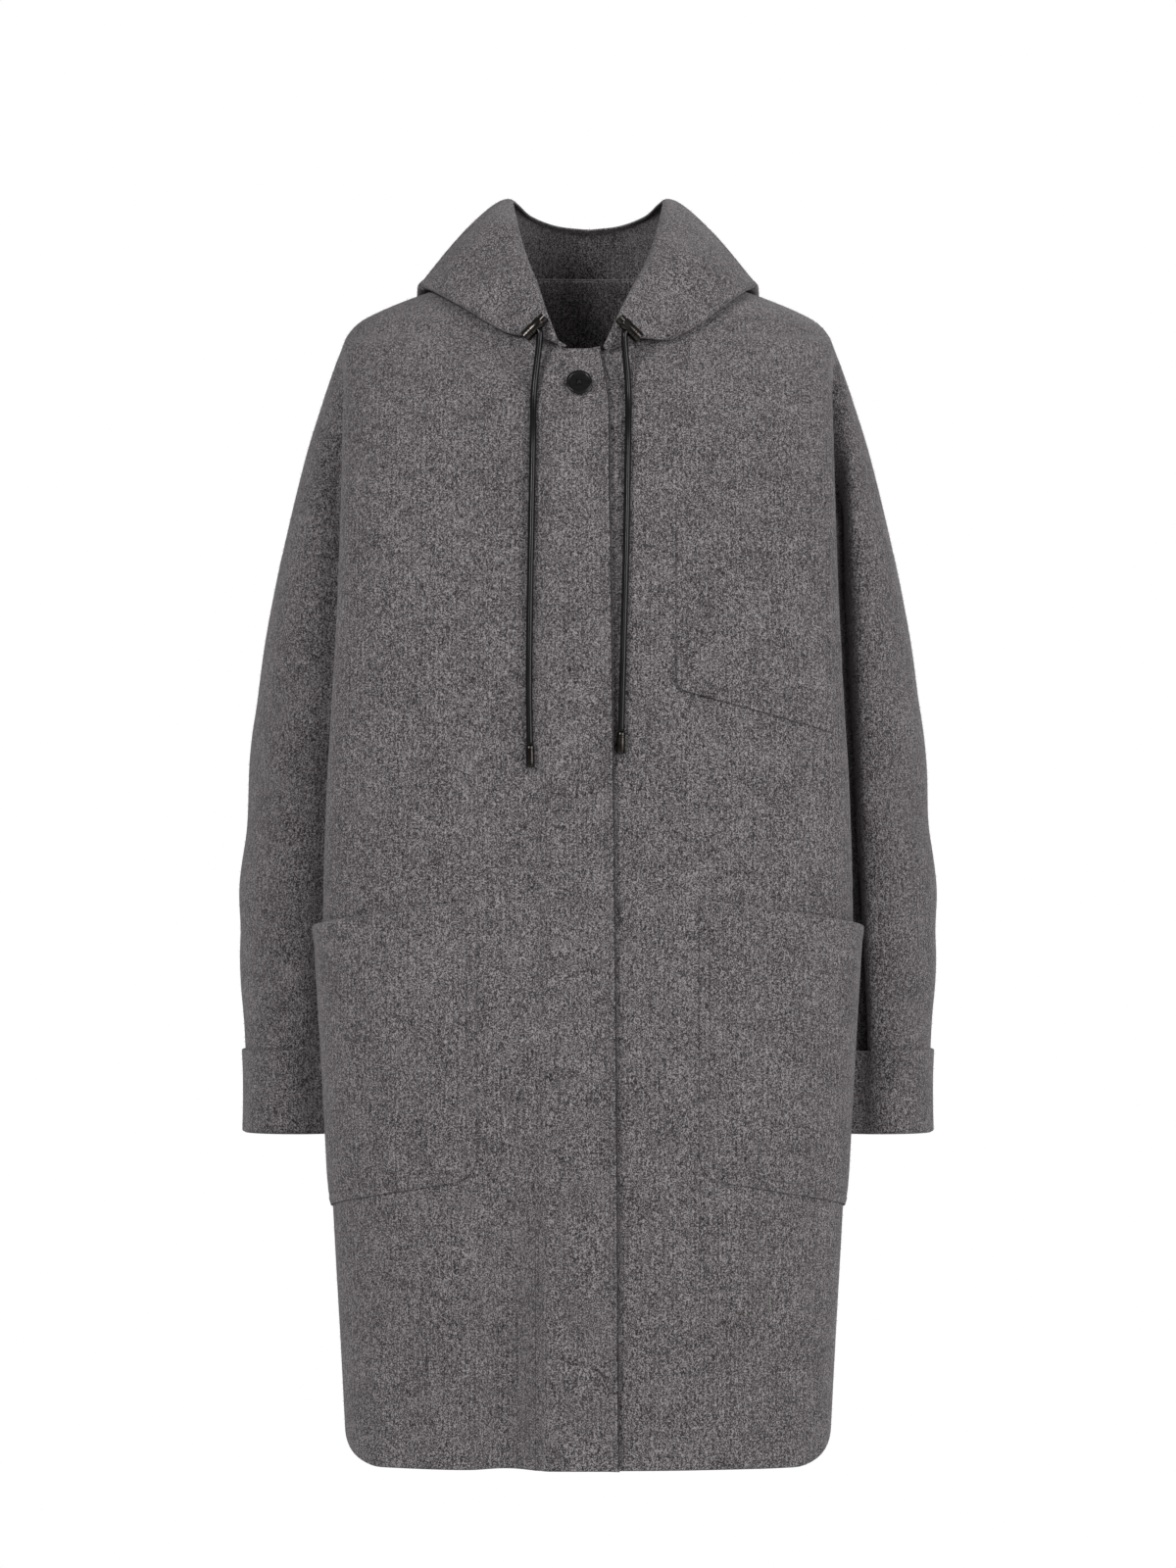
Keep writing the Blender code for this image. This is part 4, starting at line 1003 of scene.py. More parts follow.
class NodeKit:
    """Short ways to add and join nodes in one tree."""

    def __init__(self, tree: NodeTree) -> None:
        """Keeps the tree."""
        self.tree = tree

    def feed(self, node: Node, inputs: dict[str | int, object]) -> Node:
        """Joins outputs to a node's inputs, or sets them to values.

        Args:
            node: the node.
            inputs: an output or a value for each input, by name or number.

        Returns:
            The node.
        """
        for place, value in inputs.items():
            if isinstance(value, NodeSocket):
                self.tree.links.new(value, node.inputs[place])
            else:
                node.inputs[place].default_value = value
        return node

    def add(self, kind: str, inputs: dict[str | int, object] | None = None, **settings: object) -> Node:
        """A new node with its settings and its inputs.

        Args:
            kind: the node's type.
            inputs: an output or a value for each input, by name or number.
            settings: the node's own settings.

        Returns:
            The node.
        """
        node = self.tree.nodes.new(kind)
        for name, value in settings.items():
            setattr(node, name, value)
        return self.feed(node, inputs or {})

    def math(self, operation: str, *values: object) -> NodeSocket:
        """The result of a sum on outputs or numbers."""
        return self.add("ShaderNodeMath", dict(enumerate(values)), operation=operation).outputs[0]

    def vector(self, *parts: object) -> NodeSocket:
        """A vector put together from outputs or numbers."""
        return self.add("ShaderNodeCombineXYZ", dict(enumerate(parts))).outputs[0]

    def parts(self, vector: NodeSocket) -> Sequence[NodeSocket]:
        """The three numbers of a vector."""
        return self.add("ShaderNodeSeparateXYZ", {0: vector}).outputs

    def noise(
        self, vector: NodeSocket, scale: object, detail: float, rough: float = 0.5
    ) -> NodeSocket:
        """The value of a noise texture."""
        inputs = {"Vector": vector, "Scale": scale, "Detail": detail, "Roughness": rough}
        return self.add("ShaderNodeTexNoise", inputs).outputs["Fac"]

    def stretched(self, vector: NodeSocket, scale: tuple[float, float, float]) -> NodeSocket:
        """A vector scaled along each axis."""
        return self.add("ShaderNodeMapping", {"Vector": vector, "Scale": scale}).outputs["Vector"]

    def ramp(self, value: NodeSocket, *stops: tuple[float, Colour]) -> NodeSocket:
        """A colour read from stops of place and colour.

        Args:
            value: where to read.
            stops: places from 0 to 1 with their colours.

        Returns:
            The colour.
        """
        node = self.add("ShaderNodeValToRGB", {"Fac": value})
        band = node.color_ramp.elements
        while len(band) < len(stops):
            band.new(0.5)
        for stop, (at, colour) in zip(band, stops):
            stop.position = at
            stop.color = (*colour, 1.0)
        return node.outputs["Color"]

    def bump(self, height: NodeSocket, distance: float, strength: float) -> NodeSocket:
        """A normal raised by a height."""
        inputs = {"Height": height, "Distance": distance, "Strength": strength}
        return self.add("ShaderNodeBump", inputs).outputs["Normal"]


def new_material(name: str) -> tuple[Material, NodeKit, Node]:
    """A material with its node kit and its Principled shader.

    Args:
        name: the material's name.

    Returns:
        The three of them.
    """
    material = bpy.data.materials.new(name)
    material.use_nodes = True
    return material, NodeKit(material.node_tree), material.node_tree.nodes["Principled BSDF"]


def new_tree(
    name: str, kind: str, inputs: str, outputs: str
) -> tuple[NodeTree, NodeKit, Sequence[NodeSocket], Node]:
    """A node tree with named inputs and outputs.

    Args:
        name: the tree's name.
        kind: Shader or Geometry.
        inputs: each input as its name and kind with a colon between them, apart by spaces.
        outputs: the outputs in the same way.

    Returns:
        The tree, its kit, what its inputs give, and the node that hands its outputs on.
    """
    tree = bpy.data.node_groups.new(name, f"{kind}NodeTree")
    for way, sockets in (("INPUT", inputs), ("OUTPUT", outputs)):
        for label, of_kind in (socket.split(":") for socket in sockets.split()):
            tree.interface.new_socket(name=label, in_out=way, socket_type=f"NodeSocket{of_kind}")
    kit = NodeKit(tree)
    return tree, kit, kit.add("NodeGroupInput").outputs, kit.add("NodeGroupOutput")


def uneven_group() -> NodeTree:
    """A shared effect: handling marks as an uneven value about 1, and a fine grain as a height."""
    inputs, outputs = "Vector:Vector Coarse:Float Fine:Float", "Marks:Float Grain:Float"
    tree, kit, given, result = new_tree("uneven_surface", "Shader", inputs, outputs)
    coarse, fine = (kit.noise(given["Vector"], given[scale], 4.0) for scale in ("Coarse", "Fine"))
    kit.feed(result, {"Marks": kit.math("ADD", coarse, 0.5), "Grain": fine})
    return tree


@dataclass(frozen=True)
class WoolFinish:
    """Brushed grey wool: a heather of dark, middle and light hairs with faint ribs and cloudy patches."""

    name: str = "grey_wool"
    dark: Colour = (0.014, 0.012, 0.013)
    middle: Colour = (0.124, 0.112, 0.116)
    light: Colour = (0.420, 0.391, 0.401)
    hair_scale: float = 1080.0
    strand_scale: float = 430.0
    cloud_scale: float = 36.0
    upright: float = 0.80
    strand_upright: float = 0.45
    rib_pitch: float = 0.0036
    # How strongly hairs, strands, clouds and ribs change the tone.
    shares: tuple[float, float, float, float] = (3.80, 0.80, 0.38, 0.050)

    def material(self) -> Material:
        """The finish as a material: grain by place in the coat, ribs by the cloth's own map, and painted
        shade along marked edges.
        """
        material, kit, shader = new_material(self.name)
        place = kit.add("ShaderNodeTexCoord").outputs["Object"]
        hairs = kit.noise(kit.stretched(place, (1.0, 1.0, self.upright)), self.hair_scale, 2.0, 0.6)
        strands = kit.noise(kit.stretched(place, (1.0, 1.0, self.strand_upright)), self.strand_scale, 1.0)
        clouds = kit.noise(place, self.cloud_scale, 3.0, 0.6)
        across = kit.parts(kit.add("ShaderNodeUVMap", uv_map=CLOTH_MAP).outputs["UV"])[0]
        wave = kit.math("SINE", kit.math("MULTIPLY", across, 2 * math.pi / self.rib_pitch))
        tone = kit.math("MULTIPLY_ADD", wave, self.shares[3], 0.5)
        for value, share in zip((hairs, strands, clouds), self.shares):
            tone = kit.math("MULTIPLY_ADD", kit.math("SUBTRACT", value, 0.5), share, tone)
        # Painted shade: edges marked with this attribute are drawn darker, for the shadow under the fly
        # strip's raised edge.
        painted_shade = kit.add("ShaderNodeAttribute", attribute_name=PAINTED_EDGE_SHADE).outputs["Fac"]
        tone = kit.math("SUBTRACT", tone, painted_shade)
        looks = {
            "Base Color": kit.ramp(tone, (0.0, self.dark), (0.5, self.middle), (1.0, self.light)),
            "Normal": kit.bump(tone, 0.0012, 0.50),
            "Roughness": 0.94,
            "Specular IOR Level": 0.18,
            "Sheen Weight": 0.42,
            "Sheen Roughness": 0.55,
            "Sheen Tint": (0.72, 0.69, 0.70, 1.0),
        }
        kit.feed(shader, looks)
        return material


@dataclass(frozen=True)
class NapFinish:
    """Loose hairs of the wool, each dark, middle or light and paler towards its tip."""

    name: str = "wool_nap"
    tones: tuple[tuple[float, Colour], ...] = (
        (0.0, (0.040, 0.036, 0.037)),
        (0.5, (0.130, 0.118, 0.122)),
        (1.0, (0.270, 0.252, 0.258)),
    )

    def material(self) -> Material:
        """The finish as a material: its map holds each hair's tone and the way along it."""
        material, kit, shader = new_material(self.name)
        tone, along, _ = kit.parts(kit.add("ShaderNodeUVMap", uv_map=BAKE_MAP).outputs["UV"])
        colour = kit.ramp(kit.math("MULTIPLY_ADD", along, 0.10, tone), *self.tones)
        kit.feed(shader, {"Base Color": colour, "Roughness": 0.90, "Specular IOR Level": 0.15})
        return material


@dataclass(frozen=True)
class HardFinish:
    """A finish of one colour that handling has made uneven: leather, metal, horn or thread."""

    name: str
    colour: Colour
    worn: Colour
    roughness: float
    metallic: float = 0.0
    specular: float = 0.5
    coarse: float = 90.0
    fine: float = 900.0
    stretch: tuple[float, float, float] = (1.0, 1.0, 1.0)
    bump: float = 0.00005
    on_map: bool = False

    def material(self, uneven: NodeTree) -> Material:
        """The finish as a material.

        Args:
            uneven: the shared group of handling marks and grain.

        Returns:
            The material.
        """
        material, kit, shader = new_material(self.name)
        if self.on_map:
            source = kit.add("ShaderNodeUVMap", uv_map=CLOTH_MAP).outputs["UV"]
        else:
            source = kit.add("ShaderNodeTexCoord").outputs["Object"]
        inputs = {"Vector": kit.stretched(source, self.stretch), "Coarse": self.coarse, "Fine": self.fine}
        marks = kit.add("ShaderNodeGroup", inputs, node_tree=uneven).outputs
        share = kit.math("SUBTRACT", marks["Marks"], 0.5)
        looks = {
            "Base Color": kit.ramp(share, (0.35, self.colour), (0.72, self.worn)),
            "Roughness": kit.math("MULTIPLY", marks["Marks"], self.roughness),
            "Normal": kit.bump(marks["Grain"], self.bump, 0.6),
            "Metallic": self.metallic,
            "Specular IOR Level": self.specular,
        }
        kit.feed(shader, looks)
        return material


LEATHER = HardFinish(
    "black_leather", (0.0030, 0.0028, 0.0028), (0.0075, 0.0070, 0.0068), 0.24, specular=0.32,
    coarse=60.0, fine=1600.0, stretch=(1.0, 0.5, 1.0), bump=0.00008, on_map=True,
)
GUNMETAL = HardFinish(
    "gunmetal", (0.040, 0.036, 0.033), (0.085, 0.078, 0.071), 0.20, metallic=1.0, coarse=160.0, fine=2400.0
)
HORN = HardFinish(
    "black_horn", (0.0035, 0.0035, 0.0040), (0.0090, 0.0085, 0.0085), 0.20, specular=0.40,
    coarse=130.0, stretch=(1.0, 1.0, 3.0),
)
THREAD = HardFinish("grey_thread", (0.062, 0.056, 0.057), (0.110, 0.100, 0.102), 0.80, fine=5000.0)
DARK_THREAD = HardFinish("dark_thread", (0.014, 0.013, 0.013), (0.030, 0.028, 0.028), 0.75, fine=5000.0)


@dataclass
class GrownPieces:
    """A geometry node tree whose modifier turns a source mesh into a plain mesh of many small things."""

    tree: NodeTree

    def grow(self, name: str, source: Mesh, values: dict[str, object]) -> Object:
        """Runs the tree on a mesh.

        Args:
            name: the new object's name.
            source: the mesh that the tree works on, which is used up.
            values: the tree's inputs by name.

        Returns:
            An object with a plain mesh.
        """
        carrier = in_scene(f"{name}_source", source)
        modifier = carrier.modifiers.new("grow", "NODES")
        modifier.node_group = self.tree
        for item in self.tree.interface.items_tree:
            if item.in_out == "INPUT" and item.name in values:
                modifier[item.identifier] = values[item.name]
        mesh = as_shown(carrier)
        mesh.name = name
        bpy.data.objects.remove(carrier)
        bpy.data.meshes.remove(source)
        return in_scene(name, mesh)

    @staticmethod
    def _spread(kit: NodeKit, copies: dict[str | int, object]) -> NodeSocket:
        """Copies of a small thing at points, made real."""
        spread = kit.add("GeometryNodeInstanceOnPoints", copies).outputs[0]
        return kit.add("GeometryNodeRealizeInstances", {0: spread}).outputs[0]

    @staticmethod
    def _dress(
        kit: NodeKit, geometry: NodeSocket, finish: NodeSocket, result: Node
    ) -> None:
        """Ends a tree with its finish."""
        dressed = kit.add("GeometryNodeSetMaterial", {"Geometry": geometry, "Material": finish})
        kit.feed(result, {0: dressed.outputs[0]})


class Nap(GrownPieces):
    """Short bent hairs scattered over the outer side of a piece of cloth."""

    def __init__(self) -> None:
        """Builds the tree."""
        inputs = "Geometry:Geometry Density:Float Length:Float Width:Float Seed:Int Finish:Material"
        tree, kit, given, result = new_tree("nap", "Geometry", inputs, "Geometry:Geometry")
        length = given["Length"]
        cloth = {"Mesh": given["Geometry"], "Density": given["Density"], "Seed": given["Seed"]}
        scatter = kit.add("GeometryNodeDistributePointsOnFaces", cloth, distribute_method="RANDOM").outputs

        grid = {"Vertices X": 2, "Vertices Y": 3, "Size X": given["Width"], "Size Y": length}
        hair = kit.add("GeometryNodeMeshGrid", grid).outputs["Mesh"]
        x, y, _ = kit.parts(kit.add("GeometryNodeInputPosition").outputs[0])
        along = kit.math("ADD", kit.math("DIVIDE", y, length), 0.5)
        squared = kit.math("MULTIPLY", along, along)
        aside = kit.math("MULTIPLY", squared, kit.math("MULTIPLY", length, 0.35))
        bend = kit.math("MULTIPLY", squared, kit.math("MULTIPLY", length, -0.30))
        across = kit.math("MULTIPLY", x, kit.math("SUBTRACT", 1.0, along))
        place = kit.vector(kit.math("ADD", across, aside), kit.math("MULTIPLY", along, length), bend)
        marked = self._store(kit, "FLOAT", "POINT", "along", hair, along)
        shaped = kit.add("GeometryNodeSetPosition", {"Geometry": marked, "Position": place}).outputs[0]
        pointed = kit.add("GeometryNodeMergeByDistance", {"Geometry": shaped, "Distance": 1e-6}).outputs[0]

        tone = self._random(kit, 0.0, 1.0, 3)
        turn = kit.vector(self._random(kit, 0.20, 0.85, 5), 0.0, self._random(kit, 0.0, 2 * math.pi, 7))
        turns = {0: scatter["Rotation"], 1: turn}
        longer = self._random(kit, 0.45, 1.35, 11)
        copies = {
            "Points": self._store(kit, "FLOAT", "POINT", "tone", scatter["Points"], tone),
            "Instance": pointed,
            "Rotation": kit.add("FunctionNodeRotateRotation", turns, rotation_space="LOCAL").outputs[0],
            "Scale": kit.vector(1.0, longer, longer),
        }
        hairs = self._spread(kit, copies)
        spot = kit.vector(self._named(kit, "tone"), self._named(kit, "along"))
        mapped = self._store(kit, "FLOAT2", "CORNER", BAKE_MAP, hairs, spot)
        self._dress(kit, mapped, given["Finish"], result)
        super().__init__(tree)

    @staticmethod
    def _random(kit: NodeKit, low: float, high: float, seed: int) -> NodeSocket:
        """A random number for each hair."""
        inputs = {2: low, 3: high, "Seed": seed}
        return kit.add("FunctionNodeRandomValue", inputs, data_type="FLOAT").outputs[1]

    @staticmethod
    def _store(
        kit: NodeKit, kind: str, domain: str, name: str, mesh: NodeSocket, value: NodeSocket
    ) -> NodeSocket:
        """A geometry that carries a named value."""
        inputs = {"Geometry": mesh, "Name": name, "Value": value}
        return kit.add("GeometryNodeStoreNamedAttribute", inputs, data_type=kind, domain=domain).outputs[0]

    @staticmethod
    def _named(kit: NodeKit, name: str) -> NodeSocket:
        """The value stored under a name."""
        return kit.add("GeometryNodeInputNamedAttribute", {"Name": name}, data_type="FLOAT").outputs[0]


class Stitches(GrownPieces):
    """Lengths of thread at an even pitch along lines of sewing."""

    def __init__(self) -> None:
        """Builds the tree."""
        inputs = "Geometry:Geometry Pitch:Float Length:Float Thread:Float Finish:Material"
        tree, kit, given, result = new_tree("stitches", "Geometry", inputs, "Geometry:Geometry")
        line = kit.add("GeometryNodeMeshToCurve", {0: given["Geometry"]}).outputs[0]
        pitch = {"Curve": line, "Length": given["Pitch"]}
        spots = kit.add("GeometryNodeCurveToPoints", pitch, mode="LENGTH").outputs
        bead = {"Segments": 6, "Rings": 4, "Radius": 1.0}
        copies = {
            "Points": spots["Points"],
            "Instance": kit.add("GeometryNodeMeshUVSphere", bead).outputs["Mesh"],
            "Rotation": spots["Rotation"],
            "Scale": kit.vector(given["Thread"], given["Thread"], kit.math("MULTIPLY", given["Length"], 0.5)),
        }
        self._dress(kit, self._spread(kit, copies), given["Finish"], result)
        super().__init__(tree)

    def sew(
        self, name: str, lines: Sequence[Array], pitch: float, length: float, thread: float, finish: Material
    ) -> Object:
        """Sews along lines.

        Args:
            name: the new object's name.
            lines: points of each line of sewing.
            pitch: from one stitch to the next.
            length: length of a stitch.
            thread: radius of the thread.
            finish: the thread's finish.

        Returns:
            The stitches as one object.
        """
        source = bpy.data.meshes.new(f"{name}_lines")
        edges, count = [], 0
        for line in lines:
            edges += [(count + k, count + k + 1) for k in range(len(line) - 1)]
            count += len(line)
        source.from_pydata(np.concatenate(lines).tolist(), edges, [])
        values = {"Pitch": pitch, "Length": length, "Thread": thread, "Finish": finish}
        sewn = self.grow(name, source, values)
        sewn.data.shade_smooth()
        return sewn


@dataclass
class Workshop:
    """What the makers of the pieces share: finishes, node trees and the sizes of the nap."""

    wool: Material
    nap: Material
    leather: Material
    gunmetal: Material
    horn: Material
    thread: Material
    dark_thread: Material
    hairs: Nap
    stitches: Stitches
    hair_density: float = 84000.0
    hair_length: float = 0.0030
    hair_width: float = 0.00020
    seed: int = 0

    @classmethod
    def open(cls) -> "Workshop":
        """A workshop with every finish made once."""
        uneven = uneven_group()
        hard = [finish.material(uneven) for finish in (LEATHER, GUNMETAL, HORN, THREAD, DARK_THREAD)]
        return cls(WoolFinish().material(), NapFinish().material(), *hard, Nap(), Stitches())

    def brushed(self, made: Made) -> Object:
        """The nap of a piece of cloth, as an object of its own.

        Args:
            made: the finished cloth.

        Returns:
            The hairs, placed on the coat.
        """
        self.seed += 1
        source = bpy.data.meshes.new(f"outer_{made.name}")
        source.from_pydata(made.outer.tolist(), [], [[int(k) for k in face] for face in made.faces])
        values = {
            "Density": self.hair_density,
            "Length": self.hair_length,
            "Width": self.hair_width,
            "Seed": self.seed,
            "Finish": self.nap,
        }
        return placed(self.hairs.grow(f"nap_{made.name}", source, values), WOOL_SLOT)

    def hand_over(
        self,
        made: Made,
        rests: Sequence[str] = (),
        sewing: Sequence[Object] = (),
    ) -> None:
        """Brushes a finished cloth and puts it and its sewing in their place on the coat.

        Args:
            made: the cloth.
            rests: the pieces that it lies on; not used.
            sewing: its rows of stitches.
        """
        extras = [self.brushed(made), *(placed(row, WOOL_SLOT) for row in sewing)]
        placed(made.obj, WOOL_SLOT, made.name)


@dataclass
class CoatBody:
    """The two fronts and the back, with the caps that run over the arms to the sleeve seams."""

    form: BodyForm
    sleeve: SleeveForm
    wall: float = 0.0024
    low_rows: int = 128
    arm_rows: int = 46
    top_rows: int = 14
    front_columns: int = 56
    back_columns: int = 56
    cap_steps: int = 24
    underlap_x: float = -0.0300
    underlap_cut: float = 0.004
    fold_reach: float = 0.010
    fold_rounds: int = 14
    hem_turning: float = 0.0014
    hem_band: float = 0.012
    front_flat: tuple[float, float] = (0.40, 0.985)
    back_flat: tuple[float, float] = (0.66, 0.985)

    def arm_shares(self) -> Array:
        """Shares of the armhole's height for the rows beside it, a little closer at both ends."""
        turn = np.linspace(0, math.pi, self.arm_rows + 1)
        return 0.45 * (1 - np.cos(turn)) / 2 + 0.55 * turn / math.pi

    def levels(self) -> Array:
        """The heights of the body's rows."""
        form = self.form
        low = np.linspace(form.hem_z, form.underarm_z, self.low_rows + 1)
        arm = form.underarm_z + (form.shoulder_z - form.underarm_z) * self.arm_shares()
        top = np.linspace(form.shoulder_z, form.neck_top_z, self.top_rows + 1)
        return np.concatenate([low, arm[1:], top[1:]])

    def left_start(self, z: Array) -> Array:
        """Where the left front starts: under the fly strip, and at the neckline above it."""
        rise = smooth_step((z - self.form.neck_front_z + self.underlap_cut) / self.underlap_cut)
        return self.underlap_x + (self.form.neck_half_width(z) - self.underlap_x) * rise

    def right_start(self, z: Array) -> Array:
        """Where the right front starts, measured towards its own side."""
        return np.maximum(-self.form.fly_seam_x, self.form.neck_half_width(z) * (z >= self.form.neck_front_z))

    def front_grid(self, side: Side, start: Array) -> tuple[Array, Array]:
        """Points of a front from its start to its side, with their places on the flat cloth.

        Args:
            side: whose front it is.
            start: distance from the centre where each row starts.

        Returns:
            The grid and its cloth map.
        """
        form = self.form
        levels = self.levels()[:, None]
        shares = np.linspace(0, 1, self.front_columns + 1)[None, :]
        begin = start[:, None]
        from_side = (1 - shares) * (form.front_length(levels) - begin)
        height = levels + form.hem_lift(levels, from_side)
        distance = begin + shares * (form.front_length(height) - begin)
        grid = form.front(height, side.value * distance)
        cloth_map = np.stack([side.value * distance, height], -1)
        return (grid, cloth_map) if side is Side.LEFT else (grid[:, ::-1], cloth_map[:, ::-1])

    def cap_grid(self, turns: Array, start: Array) -> tuple[Array, Array]:
        """The cap over the left arm, from the armhole fold out to the sleeve seam.

        Args:
            turns: turns round the arm, underarm first.
            start: the cloth's distance from the centre at the armhole fold, for each turn.

        Returns:
            The grid and its cloth map.
        """
        rings = np.linspace(0, self.sleeve.seam_ring, self.cap_steps + 1)
        grid = self.sleeve.point(rings[None, :], turns[:, None])
        heights = np.repeat(grid[:, :1, 2], len(rings), axis=1)
        return grid, np.stack([start[:, None] + distances_along(grid, 1), heights], -1)

    def hem(self, points: Array) -> Array:
        """Thickness that the turned hem adds."""
        return self.hem_turning * smooth_step(1 - (points[:, 2] - self.form.hem_z) / self.hem_band)

    def build(self, shop: Workshop) -> None:
        """Makes the fronts and the back.

        Args:
            shop: the shared finishes and trees.
        """
        form = self.form
        turns = np.arccos(np.clip(1 - 2 * self.arm_shares(), -1, 1))
        back_turns = np.maximum(2 * math.pi - turns, math.pi + 1e-9)
        heights = form.underarm_z + (form.shoulder_z - form.underarm_z) * self.arm_shares()
        levels = self.levels()
        made = []
        for side, start in ((Side.LEFT, self.left_start(levels)), (Side.RIGHT, self.right_start(levels))):
            piece = ClothPiece(side.named("front"), self.wall)
            grid, cloth_map = self.front_grid(side, form.distances_at(levels, start))
            piece.add_grid(grid, cloth_map, "right" if side is Side.LEFT else "left right")
            cap_start = len(piece.points)
            cap, cap_map = self.cap_grid(turns, form.front_length(heights))
            if side is Side.RIGHT:
                cap, cap_map = mirrored(cap), cap_map[:, ::-1] * np.array([-1.0, 1.0])
            piece.add_grid(cap, cap_map, "high right" if side is Side.LEFT else "high left")
            line = form.armhole(turns) * np.array([side.value, 1.0, 1.0])
            piece.soften(line, self.fold_reach, self.fold_rounds)
            piece.crease_as_worn()
            piece.crease({FRONT: [HOLLOWS[side]]}, cap_start)
            made.append(piece.build(shop.wool, self.hem(piece.points)))
        piece = ClothPiece("back", self.wall)
        shares = np.linspace(1, -1, 2 * self.back_columns + 1)[None, :]
        rows = levels[:, None]
        lifted = rows + form.hem_lift(rows, (1 - np.abs(shares)) * form.back_length(rows))
        cloth_map = np.stack([shares * form.back_length(lifted), lifted], -1)
        piece.add_grid(form.back(lifted, shares), cloth_map, "left right")
        cap, cap_map = (grid[:, ::-1] for grid in self.cap_grid(back_turns, form.back_length(heights)))
        piece.add_grid(cap, cap_map, "high left")
        piece.add_grid(mirrored(cap), cap_map[:, ::-1] * np.array([-1.0, 1.0]), "high right")
        for side in Side:
            line = form.armhole(back_turns) * np.array([side.value, 1.0, 1.0])
            piece.soften(line, self.fold_reach, self.fold_rounds)
        piece.crease_as_worn()
        made.append(piece.build(shop.wool, self.hem(piece.points)))
        for cloth in made:
            shop.hand_over(cloth)


@dataclass
class FlyStrip:
    """The strip that hides the fastening: sewn to the right front, it laps over the left one."""

    form: BodyForm
    wall: float = 0.0024
    rows: int = 170
    edge_fine: float = 0.0014
    edge_coarse: float = 0.0050
    edge_band: float = 0.010
    edge_flare: float = 0.0030
    # How much painted shade darkens the strip's free edge, for the shadow along its raised edge.
    edge_painted_shade: float = 0.60
    flat: tuple[float, float] = (0.070, 0.900)

    def build(self, shop: Workshop) -> None:
        """Makes the strip.

        Args:
            shop: the shared finishes and trees.
        """
        form = self.form
        width = float(FLY_EDGE.at(-0.5)["x"]) - form.fly_seam_x
        shares = fine_at_ends(width, self.edge_fine, self.edge_coarse, self.edge_band)
        levels = np.linspace(form.hem_z, form.neck_front_z, self.rows)
        grid, cloth_map = [], []
        for z in levels:
            free = float(FLY_EDGE.at(z)["x"])
            x = form.fly_seam_x + (free - form.fly_seam_x) * shares
            top = form.neck_height(x) - form.neck_front_z
            near_top = smooth_step((z - form.neck_front_z + 0.03) / 0.03)
            heights = z + top * near_top
            distance = form.distances_at(heights, x)
            flare = self.edge_flare * smooth_step(1 - (free - x) / self.edge_band)
            grid.append(form.front_out(heights, distance, form.fly_rise(x) + flare))
            cloth_map.append(np.stack([distance, heights], -1))
        piece = ClothPiece("placket", self.wall)
        piece.add_grid(np.array(grid), np.array(cloth_map), "left")
        piece.crease_as_worn()
        shop.hand_over(piece.build(shop.wool, painted_shade=self.edge_painted_shade), ["front_left"])


